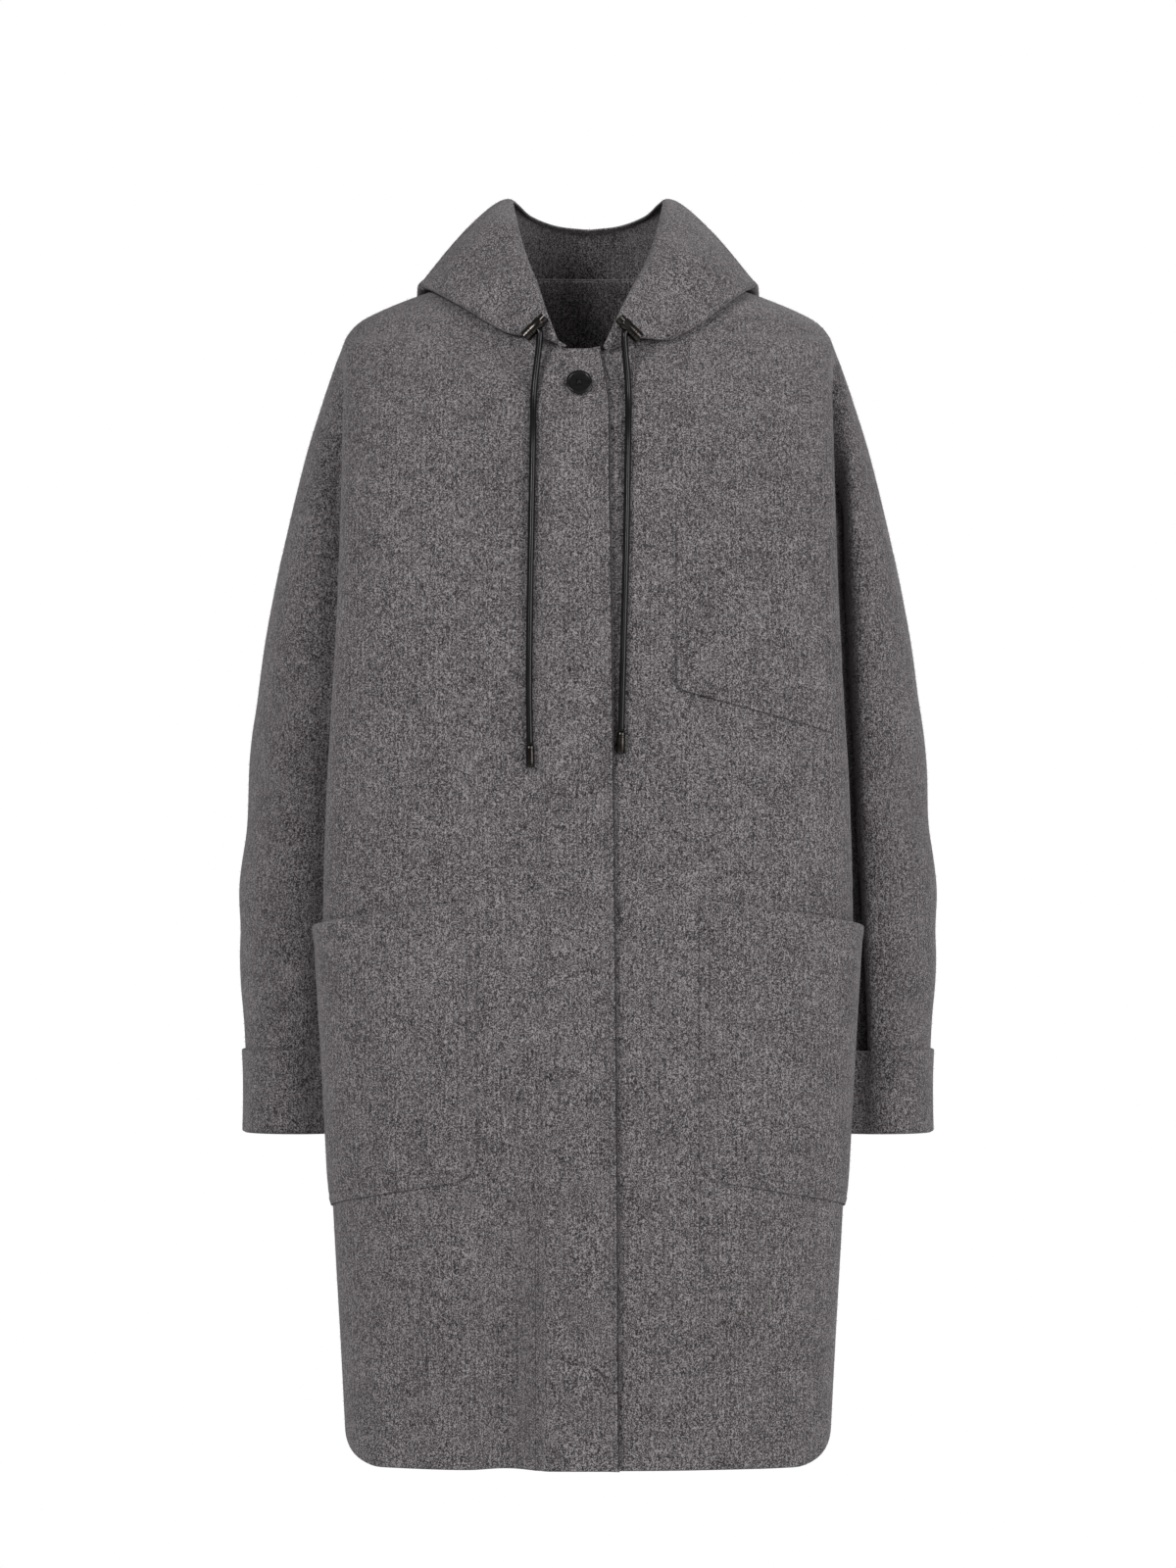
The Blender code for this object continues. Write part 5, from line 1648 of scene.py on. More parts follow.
@dataclass
class Sleeves:
    """The two sleeves below the drop-shoulder seam, and their turned-back cuffs."""

    form: SleeveForm
    wall: float = 0.0024
    seam_apart: float = 2e-6
    cuff_gap: float = 0.0004
    rows: int = 96
    columns: int = 84
    end_ring: float = 11.92
    cuff_top: float = 10.0
    cuff_end: float = 12.06
    cuff_rows: int = 22
    cuff_turning: float = 0.0028
    cuff_flare: float = 0.0009
    sleeve_flat: tuple[float, float] = (0.42, 0.52)
    cuff_flat: tuple[float, float] = (0.30, 0.070)

    def sleeve_grid(self) -> tuple[Array, Array]:
        """Points of the left sleeve from the wrist up, with their places on the flat cloth."""
        rings = np.linspace(self.end_ring, self.form.seam_ring, self.rows + 1)
        turns = np.linspace(0, 2 * math.pi, self.columns + 1)
        grid = self.form.point(rings[:, None], turns[None, :])
        return grid, self.flat_map(grid)

    def cuff_grid(self) -> tuple[Array, Array]:
        """Points of the left cuff from its fold up, with their places on the flat cloth."""
        upper = np.linspace(self.cuff_end - 0.24, self.cuff_top, self.cuff_rows)
        rings = np.concatenate([[self.cuff_end, self.cuff_end - 0.06, self.cuff_end - 0.13], upper])[:, None]
        turns = np.linspace(0, 2 * math.pi, self.columns + 1)[None, :]
        rings = rings + np.zeros_like(turns)
        turns = turns + np.zeros_like(rings)
        near_top = smooth_step(1 - (rings - self.cuff_top) / 0.6)
        flare = self.cuff_flare * near_top * (0.6 + 0.4 * np.cos(3 * turns + 0.8))
        out = self.wall + self.cuff_gap + flare
        grid = self.form.point(rings, turns) + self.form.normal(rings, turns) * out[..., None]
        return grid, self.flat_map(grid)

    @staticmethod
    def flat_map(grid: Array) -> Array:
        """Places on the flat cloth of a tube's points: round it and along it."""
        around, along = distances_along(grid, 1).mean(0), distances_along(grid).mean(1)
        return np.stack(np.broadcast_arrays(around[None, :], along[:, None]), -1)

    def turned_edge(self, points: Array) -> Array:
        """Thickness that the fold at the bottom of a cuff adds, which closes it over the sleeve's end."""
        low = points[:, 2].min()
        return self.cuff_turning * smooth_step(1 - (points[:, 2] - low) / 0.0032)

    def build(self, shop: Workshop) -> None:
        """Makes both sleeves and both cuffs.

        Args:
            shop: the shared finishes and trees.
        """
        kinds = (
            ("sleeve", self.sleeve_grid(), "left right high", self.sleeve_flat, "hung"),
            ("cuff", self.cuff_grid(), "left right", self.cuff_flat, "folded"),
        )
        for side in Side:
            for stem, (grid, cloth_map), edges, flat, held in kinds:
                piece = ClothPiece(side.named(stem), self.wall)
                turned = grid if side is Side.LEFT else mirrored(grid)
                apart = np.array([0.0, 0.0, self.seam_apart])
                turned = np.concatenate([turned[:, :-1], turned[:, -1:] + apart], axis=1)
                piece.add_grid(turned, cloth_map, edges)
                piece.crease_as_worn()
                extra = self.turned_edge(piece.points) if stem == "cuff" else 0.0
                rests = [side.named("sleeve")] if stem == "cuff" else []
                shop.hand_over(piece.build(shop.wool, extra), rests)


@dataclass
class Hood:
    """The hood, worn down: two halves that meet at the centre back, rolled over on the shoulders."""

    form: BodyForm
    wall: float = 0.0019
    seam_clear: float = 0.0008
    clear: float = 0.0030
    clear_run: float = 0.022
    ridge_span: float = 0.12
    stations: int = 96
    samples: int = 60
    facing_step: float = 0.003
    fold_step: float = 0.03
    centre_margin: float = 0.004
    under_steps: int = 16
    roll_steps: int = 12
    outer_steps: int = 34
    # How far the cloth swells out and up before its edge, on the shoulders and at the back.
    crest: tuple[float, float] = (0.020, 0.018)
    back_crest: tuple[float, float] = (0.030, 0.006)
    wing_end: float = 0.56
    crest_reach: float = 0.080
    flat_start: float = 0.07
    flat_end: float = 0.20
    flat_swell: float = 0.60
    flat_thin: float = 0.0008
    fullness: float = 0.28
    # How steeply the cloth leaves its fold on the shoulder, and the stations where it starts and stops to.
    stand: float = 0.55
    stand_span: tuple[float, float, float, float] = (0.10, 0.40, 0.56, 0.72)
    fly_end: float = 0.20
    fly_share: float = 0.80
    aside: float = 0.0048
    aside_end: float = 0.42
    fold_lift: float = 0.0035
    fold_lift_end: float = 0.50
    flat: tuple[float, float] = (0.36, 0.42)

    def share_at(self, z: Array, x: Array, front: bool) -> Array:
        """Shares round the left half of the body that lie at places across.

        Args:
            z: heights.
            x: a place across for each height.
            front: whether they lie on the front.

        Returns:
            The shares.
        """
        shares = []
        for height, place in zip(z, x):
            line = self.form.section(float(height), front)
            along = distances_along(line)
            quarter = self.form.quarter_samples
            shares.append(np.interp(place, line[:quarter, 0], along[:quarter]) / along[-1])
        return np.array(shares) if front else 2 - np.array(shares)

    def seam(self, along: float) -> Array:
        """A point of the neck seam: 0 centre front, 0.5 shoulder, 1 centre back.

        Args:
            along: how far along the seam.

        Returns:
            The point.
        """
        form = self.form
        if along <= 0.5:
            heights = np.linspace(form.neck_front_z, form.neck_top_z, 40)
            starts = form.distances_at(heights, form.neck_half_width(heights))
            line, share = form.front(heights, starts), 2 * along
        else:
            line, share = form.back(form.neck_top_z, np.linspace(1, 0, 40)), 2 * along - 1
        lengths = distances_along(line)
        return np.array([np.interp(share * lengths[-1], lengths, line[:, k]) for k in range(3)])

    def sizes(self, along: float, side: Side) -> dict[str, float]:
        """The sizes at a station, where the right half's fold lies a little higher than the left one's.

        Args:
            along: how far along the neck seam.
            side: whose half it is.

        Returns:
            The sizes by name.
        """
        size = {name: float(value) for name, value in HOOD_STATIONS.at(along).items()}
        share = min(along / self.fold_lift_end, 1.0)
        size["touch_z"] -= side.value * self.fold_lift * math.sin(math.pi * share) ** 2
        return size

    def touch(self, along: float, side: Side) -> Array:
        """Where the hood's roll touches the body.

        Args:
            along: how far along the neck seam.
            side: whose half it is.

        Returns:
            The point.
        """
        size = self.sizes(along, side)
        z, x = np.array([size["touch_z"]]), np.array([size["touch_x"]])
        return self.form.round_body(z, self.share_at(z, x, along <= 0.5))[0]

    def over_fly(self, along: float) -> float:
        """How much higher the right half lies over the fly strip."""
        x = -float(HOOD_STATIONS.at(along)["touch_x"]) * self.fly_share
        return float(self.form.fly_rise(x)) if along < self.fly_end else 0.0

    def profile(self, along: float, side: Side) -> Array:
        """One section of a half, from the neck seam out over the body, round its roll and up to its edge.

        Args:
            along: 0 centre front, 1 centre back.
            side: whose half it is; the right one's points are those of its mirror image.

        Returns:
            Points from the seam to the edge.
        """
        form = self.form
        size = self.sizes(along, side)
        rise = self.over_fly(along) if side is Side.RIGHT else 0.0
        seam = self.seam(along)
        t = np.linspace(0, 1, self.samples)
        x = seam[0] + (size["touch_x"] - seam[0]) * t
        z = seam[2] + (size["touch_z"] - seam[2]) * t
        share = np.clip(self.share_at(z, x, along <= 0.5), self.centre_margin, 2 - self.centre_margin)
        step = self.facing_step
        across = form.round_body(z, share + step) - form.round_body(z, share - step)
        up = form.round_body(z + step, share) - form.round_body(z - step, share)
        normals = unit(np.cross(across, up))
        run = t * math.hypot(size["touch_x"] - seam[0], size["touch_z"] - seam[2])
        lift = smooth_step(np.maximum(run / self.clear_run, 1 - abs(along - 0.5) / self.ridge_span))
        off = self.seam_clear + (self.clear - self.seam_clear) * lift + rise
        under = form.round_body(z, share) + normals * off[:, None]
        normal = normals[-1]
        before, after = max(along - self.fold_step, 0.0), min(along + self.fold_step, 1.0)
        onward = unit(np.cross(self.touch(after, side) - self.touch(before, side), normal))
        turn = np.linspace(0, math.pi, self.samples)[:, None]
        roll = under[-1] + size["roll"] * (onward * np.sin(turn) + normal * (1 - np.cos(turn)))
        moved = -side.value * self.aside * float(smooth_step(1 - along / self.aside_end))
        edge = np.array([size["edge_x"] + moved, size["edge_y"], size["edge_z"]])
        reach = np.linalg.norm(edge - roll[-1])
        away = np.array([edge[0], edge[1], 0.0]) / max(math.hypot(edge[0], edge[1]), 1e-6)
        grown = min(1.0, reach / self.crest_reach) ** 2
        behind = float(smooth_step((along - self.wing_end) / (1 - self.wing_end)))
        crest_out, crest_up = (a + (b - a) * behind for a, b in zip(self.crest, self.back_crest))
        crest = edge + grown * (away * crest_out + np.array([0, 0, crest_up]))
        begin, full, wane, end = self.stand_span
        stand = smooth_step((along - begin) / (full - begin)) * smooth_step((end - along) / (end - wane))
        stand = self.stand * float(stand)
        leave = normal * math.sin(stand) - onward * math.cos(stand)
        outer = bezier((roll[-1], roll[-1] + leave * self.fullness * reach, crest, edge), self.samples)
        parts = (
            resampled(under, self.under_steps + 1),
            resampled(roll, self.roll_steps + 1)[1:],
            resampled(outer, self.outer_steps + 1)[1:],
        )
        folded = np.concatenate(parts)
        swell = self.flat_swell * np.linalg.norm(edge - under[0])
        ahead, below = np.array([0.0, -swell, -swell / 3]), np.array([0.0, -swell / 2, -swell / 2])
        flat = resampled(bezier((under[0], under[0] + ahead, edge + below, edge), self.samples), len(folded))
        return folded + (flat - folded) * self.flatness(along)

    def flatness(self, along: Numbers) -> Array:
        """How far the hood rises without a fold, as it does beside the centre front."""
        return smooth_step((self.flat_end - along) / (self.flat_end - self.flat_start))

    def half(self, side: Side) -> tuple[Array, Array]:
        """Rows of a half from its neck seam to its edge, as on the left, and their cloth map.

        Args:
            side: whose half it is.

        Returns:
            The rows and the map.
        """
        stations = np.linspace(0, 1, self.stations + 1)
        profiles = np.array([self.profile(s, side) for s in stations])
        profiles[-1][:, 0] = 0.0
        rows = profiles.transpose(1, 0, 2)
        along, up = distances_along(rows, 1).mean(0), distances_along(rows)
        return rows, np.stack(np.broadcast_arrays(along[None, :], up), -1)

    def build(self, shop: Workshop) -> None:
        """Makes both halves.

        Args:
            shop: the shared finishes and trees.
        """
        for side in Side:
            rows, cloth_map = self.half(side)
            thinner = np.broadcast_to(self.flatness(np.linspace(0, 1, self.stations + 1)), rows.shape[:2])
            if side is Side.RIGHT:
                rows, cloth_map, thinner = mirrored(rows), cloth_map[:, ::-1], thinner[:, ::-1]
            piece = ClothPiece(side.named("hood"), self.wall)
            piece.add_grid(rows, cloth_map, "low right" if side is Side.LEFT else "low left")
            piece.crease_as_worn()
            cloth = piece.build(shop.wool, -self.flat_thin * thinner.ravel())
            shop.hand_over(cloth, [side.named("front"), "back"])


@dataclass
class PatchPocket:
    """A patch pocket sewn to a front round its sides and bottom, with its mouth open a little."""

    form: BodyForm
    name: str
    side: Side
    inner: float
    outer: float
    mouth_in: float
    mouth_out: float
    bottom_in: float
    bottom_out: float
    corner: float
    gape: float
    gape_at: float = 0.75
    wall: float = 0.0024
    lie: float = 0.0004
    fullness: float = 0.0009
    edge_wall: float = 0.0014
    side_wall: float = 0.0008
    edge_band: float = 0.0060
    mouth_turning: float = 0.0009
    mouth_band: float = 0.014
    sewn_in: float = 0.0085
    groove: float = 0.0005
    groove_width: float = 0.0019
    fine: float = 0.0014
    coarse: float = 0.0048
    band: float = 0.0125
    stitch_pitch: float = 0.0034
    stitch_length: float = 0.0026
    thread: float = 0.00028

    def place(self, share: Array, up: Array) -> tuple[Array, Array, Array, Array]:
        """Places on the pocket.

        Args:
            share: 0 at its inner edge, 1 at its outer one.
            up: 0 at its bottom, 1 at its mouth.

        Returns:
            Distances from the centre, heights, how far each place stands off, and its extra thickness.
        """
        share, up = np.broadcast_arrays(share, up)
        width = self.outer - self.inner
        from_edge = np.minimum(share, 1 - share) * width
        inside = np.maximum(self.corner - from_edge, 0.0)
        rounding = self.corner - np.sqrt(self.corner**2 - inside**2)
        bottom = self.bottom_in + (self.bottom_out - self.bottom_in) * share + rounding
        mouth = self.mouth_in + (self.mouth_out - self.mouth_in) * share
        height = bottom + (mouth - bottom) * up
        before, after = 2 * self.gape_at, 2 * (1 - self.gape_at)
        peak = self.gape_at**before * (1 - self.gape_at) ** after
        gape = self.gape * up**2 * share**before * (1 - share) ** after / peak
        in_from = np.minimum(from_edge, height - bottom)
        at_low = (self.edge_wall - self.wall) * smooth_step(1 - (height - bottom) / self.edge_band)
        at_side = (self.side_wall - self.wall) * smooth_step(1 - from_edge / self.edge_band)
        turned = self.mouth_turning * smooth_step(2 - 2 * (mouth - height) / self.mouth_band)
        thinner = np.minimum(at_low, at_side) + turned
        full = self.fullness * smooth_step(in_from / 0.03)
        line = self.groove * np.exp(-(((in_from - self.sewn_in) / self.groove_width) ** 2))
        out = self.wall + thinner + self.lie + gape + full - line
        return self.inner + share * width, height, out, thinner

    def build(self, shop: Workshop) -> None:
        """Makes the pocket and its sewing.

        Args:
            shop: the shared finishes and trees.
        """
        width = self.outer - self.inner
        tall = self.mouth_in - self.bottom_in
        shares = fine_at_ends(width, self.fine, self.coarse, self.band)[None, :]
        ups = fine_at_ends(tall, self.fine, self.coarse, self.band)[:, None]
        distance, height, out, thinner = self.place(shares, ups)
        grid = self.form.front_out(height, self.side.value * distance, out)
        cloth_map = np.stack([distance, height], -1)
        if self.side is Side.RIGHT:
            grid, cloth_map, thinner = grid[:, ::-1], cloth_map[:, ::-1], thinner[:, ::-1]
        piece = ClothPiece(self.name, self.wall)
        piece.add_grid(grid, cloth_map)
        made = piece.build(shop.wool, thinner.ravel())
        made.area = min(made.area, width * tall)
        sizes = (self.stitch_pitch, self.stitch_length, self.thread)
        sewing = shop.stitches.sew(f"sewing_{self.name}", [self.sewn_line()], *sizes, shop.thread)
        shop.hand_over(made, [self.side.named("front")], [sewing])

    def sewn_line(self) -> Array:
        """The line of sewing down one side, along the bottom and up the other."""
        width, tall = self.outer - self.inner, self.mouth_in - self.bottom_in
        inset, turn = self.sewn_in, np.linspace(0, math.pi / 2, 10)
        radius = max(self.corner - inset, 0.002)
        left, right = inset / width, 1 - inset / width
        down = np.linspace(1.0, (inset + radius) / tall, 60)
        round_share = radius * (1 - np.cos(turn)) / width
        round_up = (inset + radius * (1 - np.sin(turn))) / tall
        along = np.linspace(left + radius / width, right - radius / width, 60)
        level = np.ones(60)
        share = np.concatenate(
            [left * level, left + round_share, along, right - round_share[::-1], right * level]
        )
        up = np.concatenate([down, round_up, inset / tall * level, round_up[::-1], down[::-1]])
        distance, height, out, _ = self.place(share, up)
        return self.form.front_out(height, self.side.value * distance, out + self.thread * 0.4)


def skinned(rings: Array) -> tuple[Array, list[tuple[int, ...]]]:
    """A closed body through rings of points.

    Args:
        rings: the points of each ring, anticlockwise as seen from the last ring's end.

    Returns:
        Its points and faces.
    """
    count, sides = rings.shape[:2]
    last = (count - 1) * sides
    faces = [tuple(range(sides))[::-1], tuple(range(last, last + sides))]
    for start in range(0, last, sides):
        for k in range(sides):
            j = (k + 1) % sides
            faces.append((start + k, start + j, start + sides + j, start + sides + k))
    return rings.reshape(-1, 3), faces


def turned_mesh(profile: Sequence[tuple[float, float]], sides: int) -> Mesh:
    """A closed body turned about +Z.

    Args:
        profile: radius and height of each ring, up its outer side.
        sides: how many sides it has.

    Returns:
        The mesh.
    """
    rings = [np.insert(circle(sides) * radius, 2, height, axis=1) for radius, height in profile]
    points, faces = skinned(np.array(rings))
    mesh = bpy.data.meshes.new("turned")
    mesh.from_pydata(points.tolist(), [], faces)
    return mesh


def standing(place: Array, axis: Array) -> Matrix:
    """The transform that puts a turned body's base at a place with its own +Z along an axis."""
    turn = Vector((0, 0, 1)).rotation_difference(Vector(axis))
    return Matrix.Translation(Vector(place)) @ turn.to_matrix().to_4x4()


def carved(
    name: str, mesh: Mesh, cutters: Sequence[Mesh], material: Material, sharp: float = 32.0
) -> Object:
    """A body with the cutters' shapes taken out of it.

    Args:
        name: the new object's name.
        mesh: the body, in place.
        cutters: meshes to take out, in place, which are used up.
        material: its finish.
        sharp: edges steeper than this many degrees stay crisp.

    Returns:
        The object, at the origin.
    """
    body = in_scene(name, mesh)
    tools = [in_scene(f"{name}_tool", cutter) for cutter in cutters]
    for tool in tools:
        change = body.modifiers.new("cut", "BOOLEAN")
        change.operation, change.solver, change.object = "DIFFERENCE", "EXACT", tool
    result = as_shown(body)
    for tool in tools:
        bpy.data.objects.remove(tool)
    body.modifiers.clear()
    body.data = result
    result.materials.clear()
    result.materials.append(material)
    result.shade_smooth()
    result.set_sharp_from_angle(angle=math.radians(sharp))
    return body


@dataclass
class FlyButton:
    """The dished four-hole button at the top of the fly strip, its thread, and the end of its buttonhole."""

    form: BodyForm
    x: float = -0.0071
    z: float = -0.0784
    radius: float = 0.0104
    thickness: float = 0.0042
    rim: float = 0.0026
    dish: float = 0.0012
    hole_radius: float = 0.0010
    hole_offset: float = 0.0022
    stand_off: float = 0.0005
    sides: int = 72
    thread: float = 0.00042
    thread_dip: float = 0.0016
    slit_length: float = 0.0050
    slit_start: float = 0.0092

    def seat(self) -> tuple[Array, Array]:
        """The middle of the button's back, and the way it faces."""
        distance = self.form.distance_at(self.z, self.x)
        normal = self.form.front_normal(self.z, distance)
        off = float(self.form.fly_rise(self.x)) + self.stand_off
        return self.form.front(self.z, distance) + normal * off, normal

    def build(self, shop: Workshop) -> None:
        """Makes the button, its thread and the buttonhole.

        Args:
            shop: the shared finishes and trees.
        """
        place, normal = self.seat()
        transform = standing(place, normal)
        inner = self.radius - self.rim
        face = self.thickness - self.dish
        profile = [(self.radius * 0.80, 0.0), (self.radius * 0.93, self.thickness * 0.14)]
        for turn in np.linspace(-0.5, math.pi / 2, 7):
            round_edge = self.rim * 0.42
            profile.append((
                self.radius - round_edge * (1 - math.cos(turn)),
                self.thickness - round_edge * (1 - math.sin(turn)),
            ))
        profile += [
            (inner + self.rim * 0.30, self.thickness),
            (inner + self.rim * 0.05, self.thickness - self.dish * 0.30),
            (inner - self.rim * 0.10, face + self.dish * 0.12),
            (inner - self.rim * 0.35, face),
            (inner - self.rim * 0.80, face + 0.00010),
            (inner * 0.55, face - 0.00012),
            (inner * 0.30, face - 0.00018),
        ]
        body = turned_mesh(profile, self.sides)
        body.transform(transform)
        turns = [math.pi / 4 + k * math.pi / 2 for k in range(4)]
        spots = [(self.hole_offset * math.cos(t), self.hole_offset * math.sin(t)) for t in turns]
        drill = ((self.hole_radius, -self.thickness), (self.hole_radius, 2 * self.thickness))
        cutters = []
        for spot in spots:
            cutter = turned_mesh(drill, 20)
            cutter.transform(transform @ Matrix.Translation((*spot, 0.0)))
            cutters.append(cutter)
        button = carved("horn_button", body, cutters, shop.horn)
        placed(button, HORN_SLOT, "button")
        strands = []
        for first, second in ((0, 2), (1, 3)):
            ends = [np.array([*spots[k], face]) for k in (first, second)]
            t = np.linspace(-0.06, 1.06, 15)[:, None]
            strand = ends[0] + (ends[1] - ends[0]) * t
            over = self.thread * (1.1 + 0.7 * (first == 1))
            in_hole = (t[:, 0] < 0) | (t[:, 0] > 1)
            strand[:, 2] += over * np.sin(math.pi * t[:, 0].clip(0, 1)) - self.thread_dip * in_hole
            strands.append(np.array([transform @ Vector(p) for p in strand]))
        thread = joined_tubes("button_thread", strands, self.thread, 8, shop.dark_thread)
        placed(thread, HORN_SLOT)
        self.buttonhole(shop)

    def buttonhole(self, shop: Workshop) -> None:
        """Sews the end of the buttonhole that shows beside the button.

        Args:
            shop: the shared finishes and trees.
        """
        x = self.x - self.slit_start - np.linspace(0, self.slit_length, 24)
        lines = []
        for lift in (0.0006, -0.0006):
            z = np.full(len(x), self.z - 0.0012 + lift)
            lines.append(self.form.front_out(z, self.form.distances_at(z, x), self.form.fly_rise(x) + 0.0003))
        sewn = shop.stitches.sew("buttonhole", lines, 0.0007, 0.0009, 0.00045, shop.thread)
        placed(sewn, HORN_SLOT)


def joined_tubes(
    name: str, lines: Sequence[Array], radius: float, sides: int, material: Material
) -> Object:
    """Round tubes along lines, as one object.

    Args:
        name: the new object's name.
        lines: points of each tube's middle.
        radius: the tubes' radius.
        sides: how many sides each tube has.
        material: the finish.

    Returns:
        The object.
    """
    points, faces, maps, count = [], [], [], 0
    for line in lines:
        tube, shut, flat = tube_mesh(line, np.repeat(circle(sides)[None] * radius, len(line), 0))
        points.append(tube)
        maps.append(flat)
        faces += [tuple(k + count for k in face) for face in shut]
        count += len(tube)
    return mesh_object(name, np.concatenate(points), faces, material, np.concatenate(maps))


def tube_mesh(line: Array, sections: Array) -> tuple[Array, list[tuple[int, ...]], Array]:
    """A closed tube along a line, whose sections don't twist.

    Args:
        line: points of its middle.
        sections: the section at each point, as (across, up) points anticlockwise as seen from its end.

    Returns:
        Its points, its faces and each point's place round and along it.
    """
    ways = unit(np.gradient(line, axis=0))
    aside = (0.0, 1.0, 0.0) if abs(ways[0][1]) < 0.9 else (1.0, 0.0, 0.0)
    across = unit(np.cross(ways[0], np.array(aside)))
    sides = sections.shape[1]
    rings, maps = [], []
    for way, spot, section, run in zip(ways, line, sections, distances_along(line)):
        across = unit(across - way * (across @ way))
        up = np.cross(way, across)
        rings.append(spot + section[:, :1] * across + section[:, 1:] * up)
        radius = np.linalg.norm(section[0])
        maps += [(2 * math.pi * radius * k / sides, run) for k in range(sides)]
    return *skinned(np.array(rings)), np.array(maps)


@dataclass
class Drawcord:
    """A rolled leather cord that comes out of the hood through a barrel lock and hangs to its metal end."""

    form: BodyForm
    side: Side
    lock_x: float
    lock_z: float
    lock_off: float
    # Where the cord hangs, top to bottom: across and up.
    route: tuple[tuple[float, float], ...]
    radius: float = 0.00275
    clear: float = 0.0013
    step: float = 0.0024
    samples: int = 40
    tip_radius: float = 0.0036
    tip_length: float = 0.0170
    lock_radius: float = 0.0051
    lock_length: float = 0.0235
    lock_collar: float = 0.0048
    bore_radius: float = 0.0037
    lock_axis: tuple[float, float, float] = (0.70, 0.10, -0.70)
    way_through: tuple[float, float, float] = (-0.62, -0.30, -0.72)
    in_bore: float = 0.75
    below_lock: float = 0.0008
    gap: float = 0.0003
    edge_break: float = 0.0006
    seam_depth: float = 0.16
    seam_turn: float = 2.2

    def lock_frame(self) -> tuple[Array, Array, Array]:
        """The lock's middle, its axis and the way that the cord runs through it."""
        distance = self.form.distance_at(self.lock_z, self.lock_x)
        y = float(self.form.front(self.lock_z, distance)[1]) - self.lock_off
        own_side = np.array([float(self.side.value), 1.0, 1.0])
        axis = unit(own_side * np.array(self.lock_axis))
        along = own_side * np.array(self.way_through)
        return np.array([self.lock_x, y, self.lock_z]), axis, unit(along - axis * (along @ axis))

    def centre_line(self) -> Array:
        """Points of the cord's middle, from inside the lock to the top of its metal end."""
        place, _, along = self.lock_frame()
        start = place - along * self.lock_radius * self.in_bore
        knots = [start, place + along * (self.lock_radius + self.below_lock)]
        for x, z in self.route:
            rise = float(self.form.fly_rise(x)) if x < float(FLY_EDGE.at(z)["x"]) else 0.0
            distance = self.form.distance_at(z, x)
            knots.append(self.form.front_out(np.asarray(z), distance, self.radius + self.clear + rise))
        knots = np.array(knots + [2 * knots[-1] - knots[-2]])
        fine = []
        for a, b, c, d in zip(knots, knots[1:], knots[2:], knots[3:]):
            for t in np.linspace(0, 1, self.samples, endpoint=False):
                bend = 2 * b + (c - a) * t + (2 * a - 5 * b + 4 * c - d) * t**2
                fine.append((bend + (3 * b - a - 3 * c + d) * t**3) / 2)
        fine = np.array(fine + [knots[-2]])
        inside = start + (fine[0] - start) * np.linspace(0, 1, 5, endpoint=False)[:, None]
        whole = np.concatenate([inside, fine])
        return resampled(whole, int(round(distances_along(whole)[-1] / self.step)) + 1)

    def build(self, shop: Workshop) -> None:
        """Makes the cord, its lock and its metal end.

        Args:
            shop: the shared finishes and trees.
        """
        line = self.centre_line()
        tip = self.tip(shop, line)
        lock = self.lock(shop)
        turns = np.linspace(0, 2 * math.pi, 28, endpoint=False)
        away = np.abs((turns - self.seam_turn + math.pi) % (2 * math.pi) - math.pi)
        radii = self.radius * (1 - self.seam_depth * np.exp(-((away / 0.16) ** 2)))
        section = np.stack([np.cos(turns), np.sin(turns)], 1) * radii[:, None]
        sections = np.repeat(section[None], len(line), 0)
        waver = 1 + 0.012 * np.sin(distances_along(line) * 210.0)
        points, faces, flat = tube_mesh(line, sections * waver[:, None, None])
        name = self.side.named("cord")
        cord = placed(mesh_object(f"leather_{name}", points, faces, shop.leather, flat), LEATHER_SLOT, name)

    def tip(self, shop: Workshop, line: Array) -> Object:
        """The metal end: a turned ferrule with a crimped band and a rounded foot.

        Args:
            shop: the shared finishes and trees.
            line: the cord's middle.

        Returns:
            The placed piece.
        """
        way = unit(line[-1] - line[-2])
        radius, tall, edge = self.tip_radius, self.tip_length, self.edge_break
        profile = [(radius * 0.80, 0.0), (radius * 0.93, edge * 0.3), (radius, edge)]
        for band in (0.16, 0.24):
            groove = tall * band
            profile += [(radius, groove - edge * 0.5), (radius * 0.92, groove), (radius, groove + edge * 0.5)]
        profile += [(radius, tall - 2 * edge), (radius * 0.97, tall - edge)]
        profile += [(radius * 0.88, tall - edge * 0.3), (radius * 0.76, tall)]
        mesh = turned_mesh(profile, 40)
        mesh.transform(standing(line[-1] + way * self.gap, way))
        name = self.side.named("cord_tip")
        return placed(carved(f"metal_{name}", mesh, [], shop.gunmetal), METAL_SLOT, name)

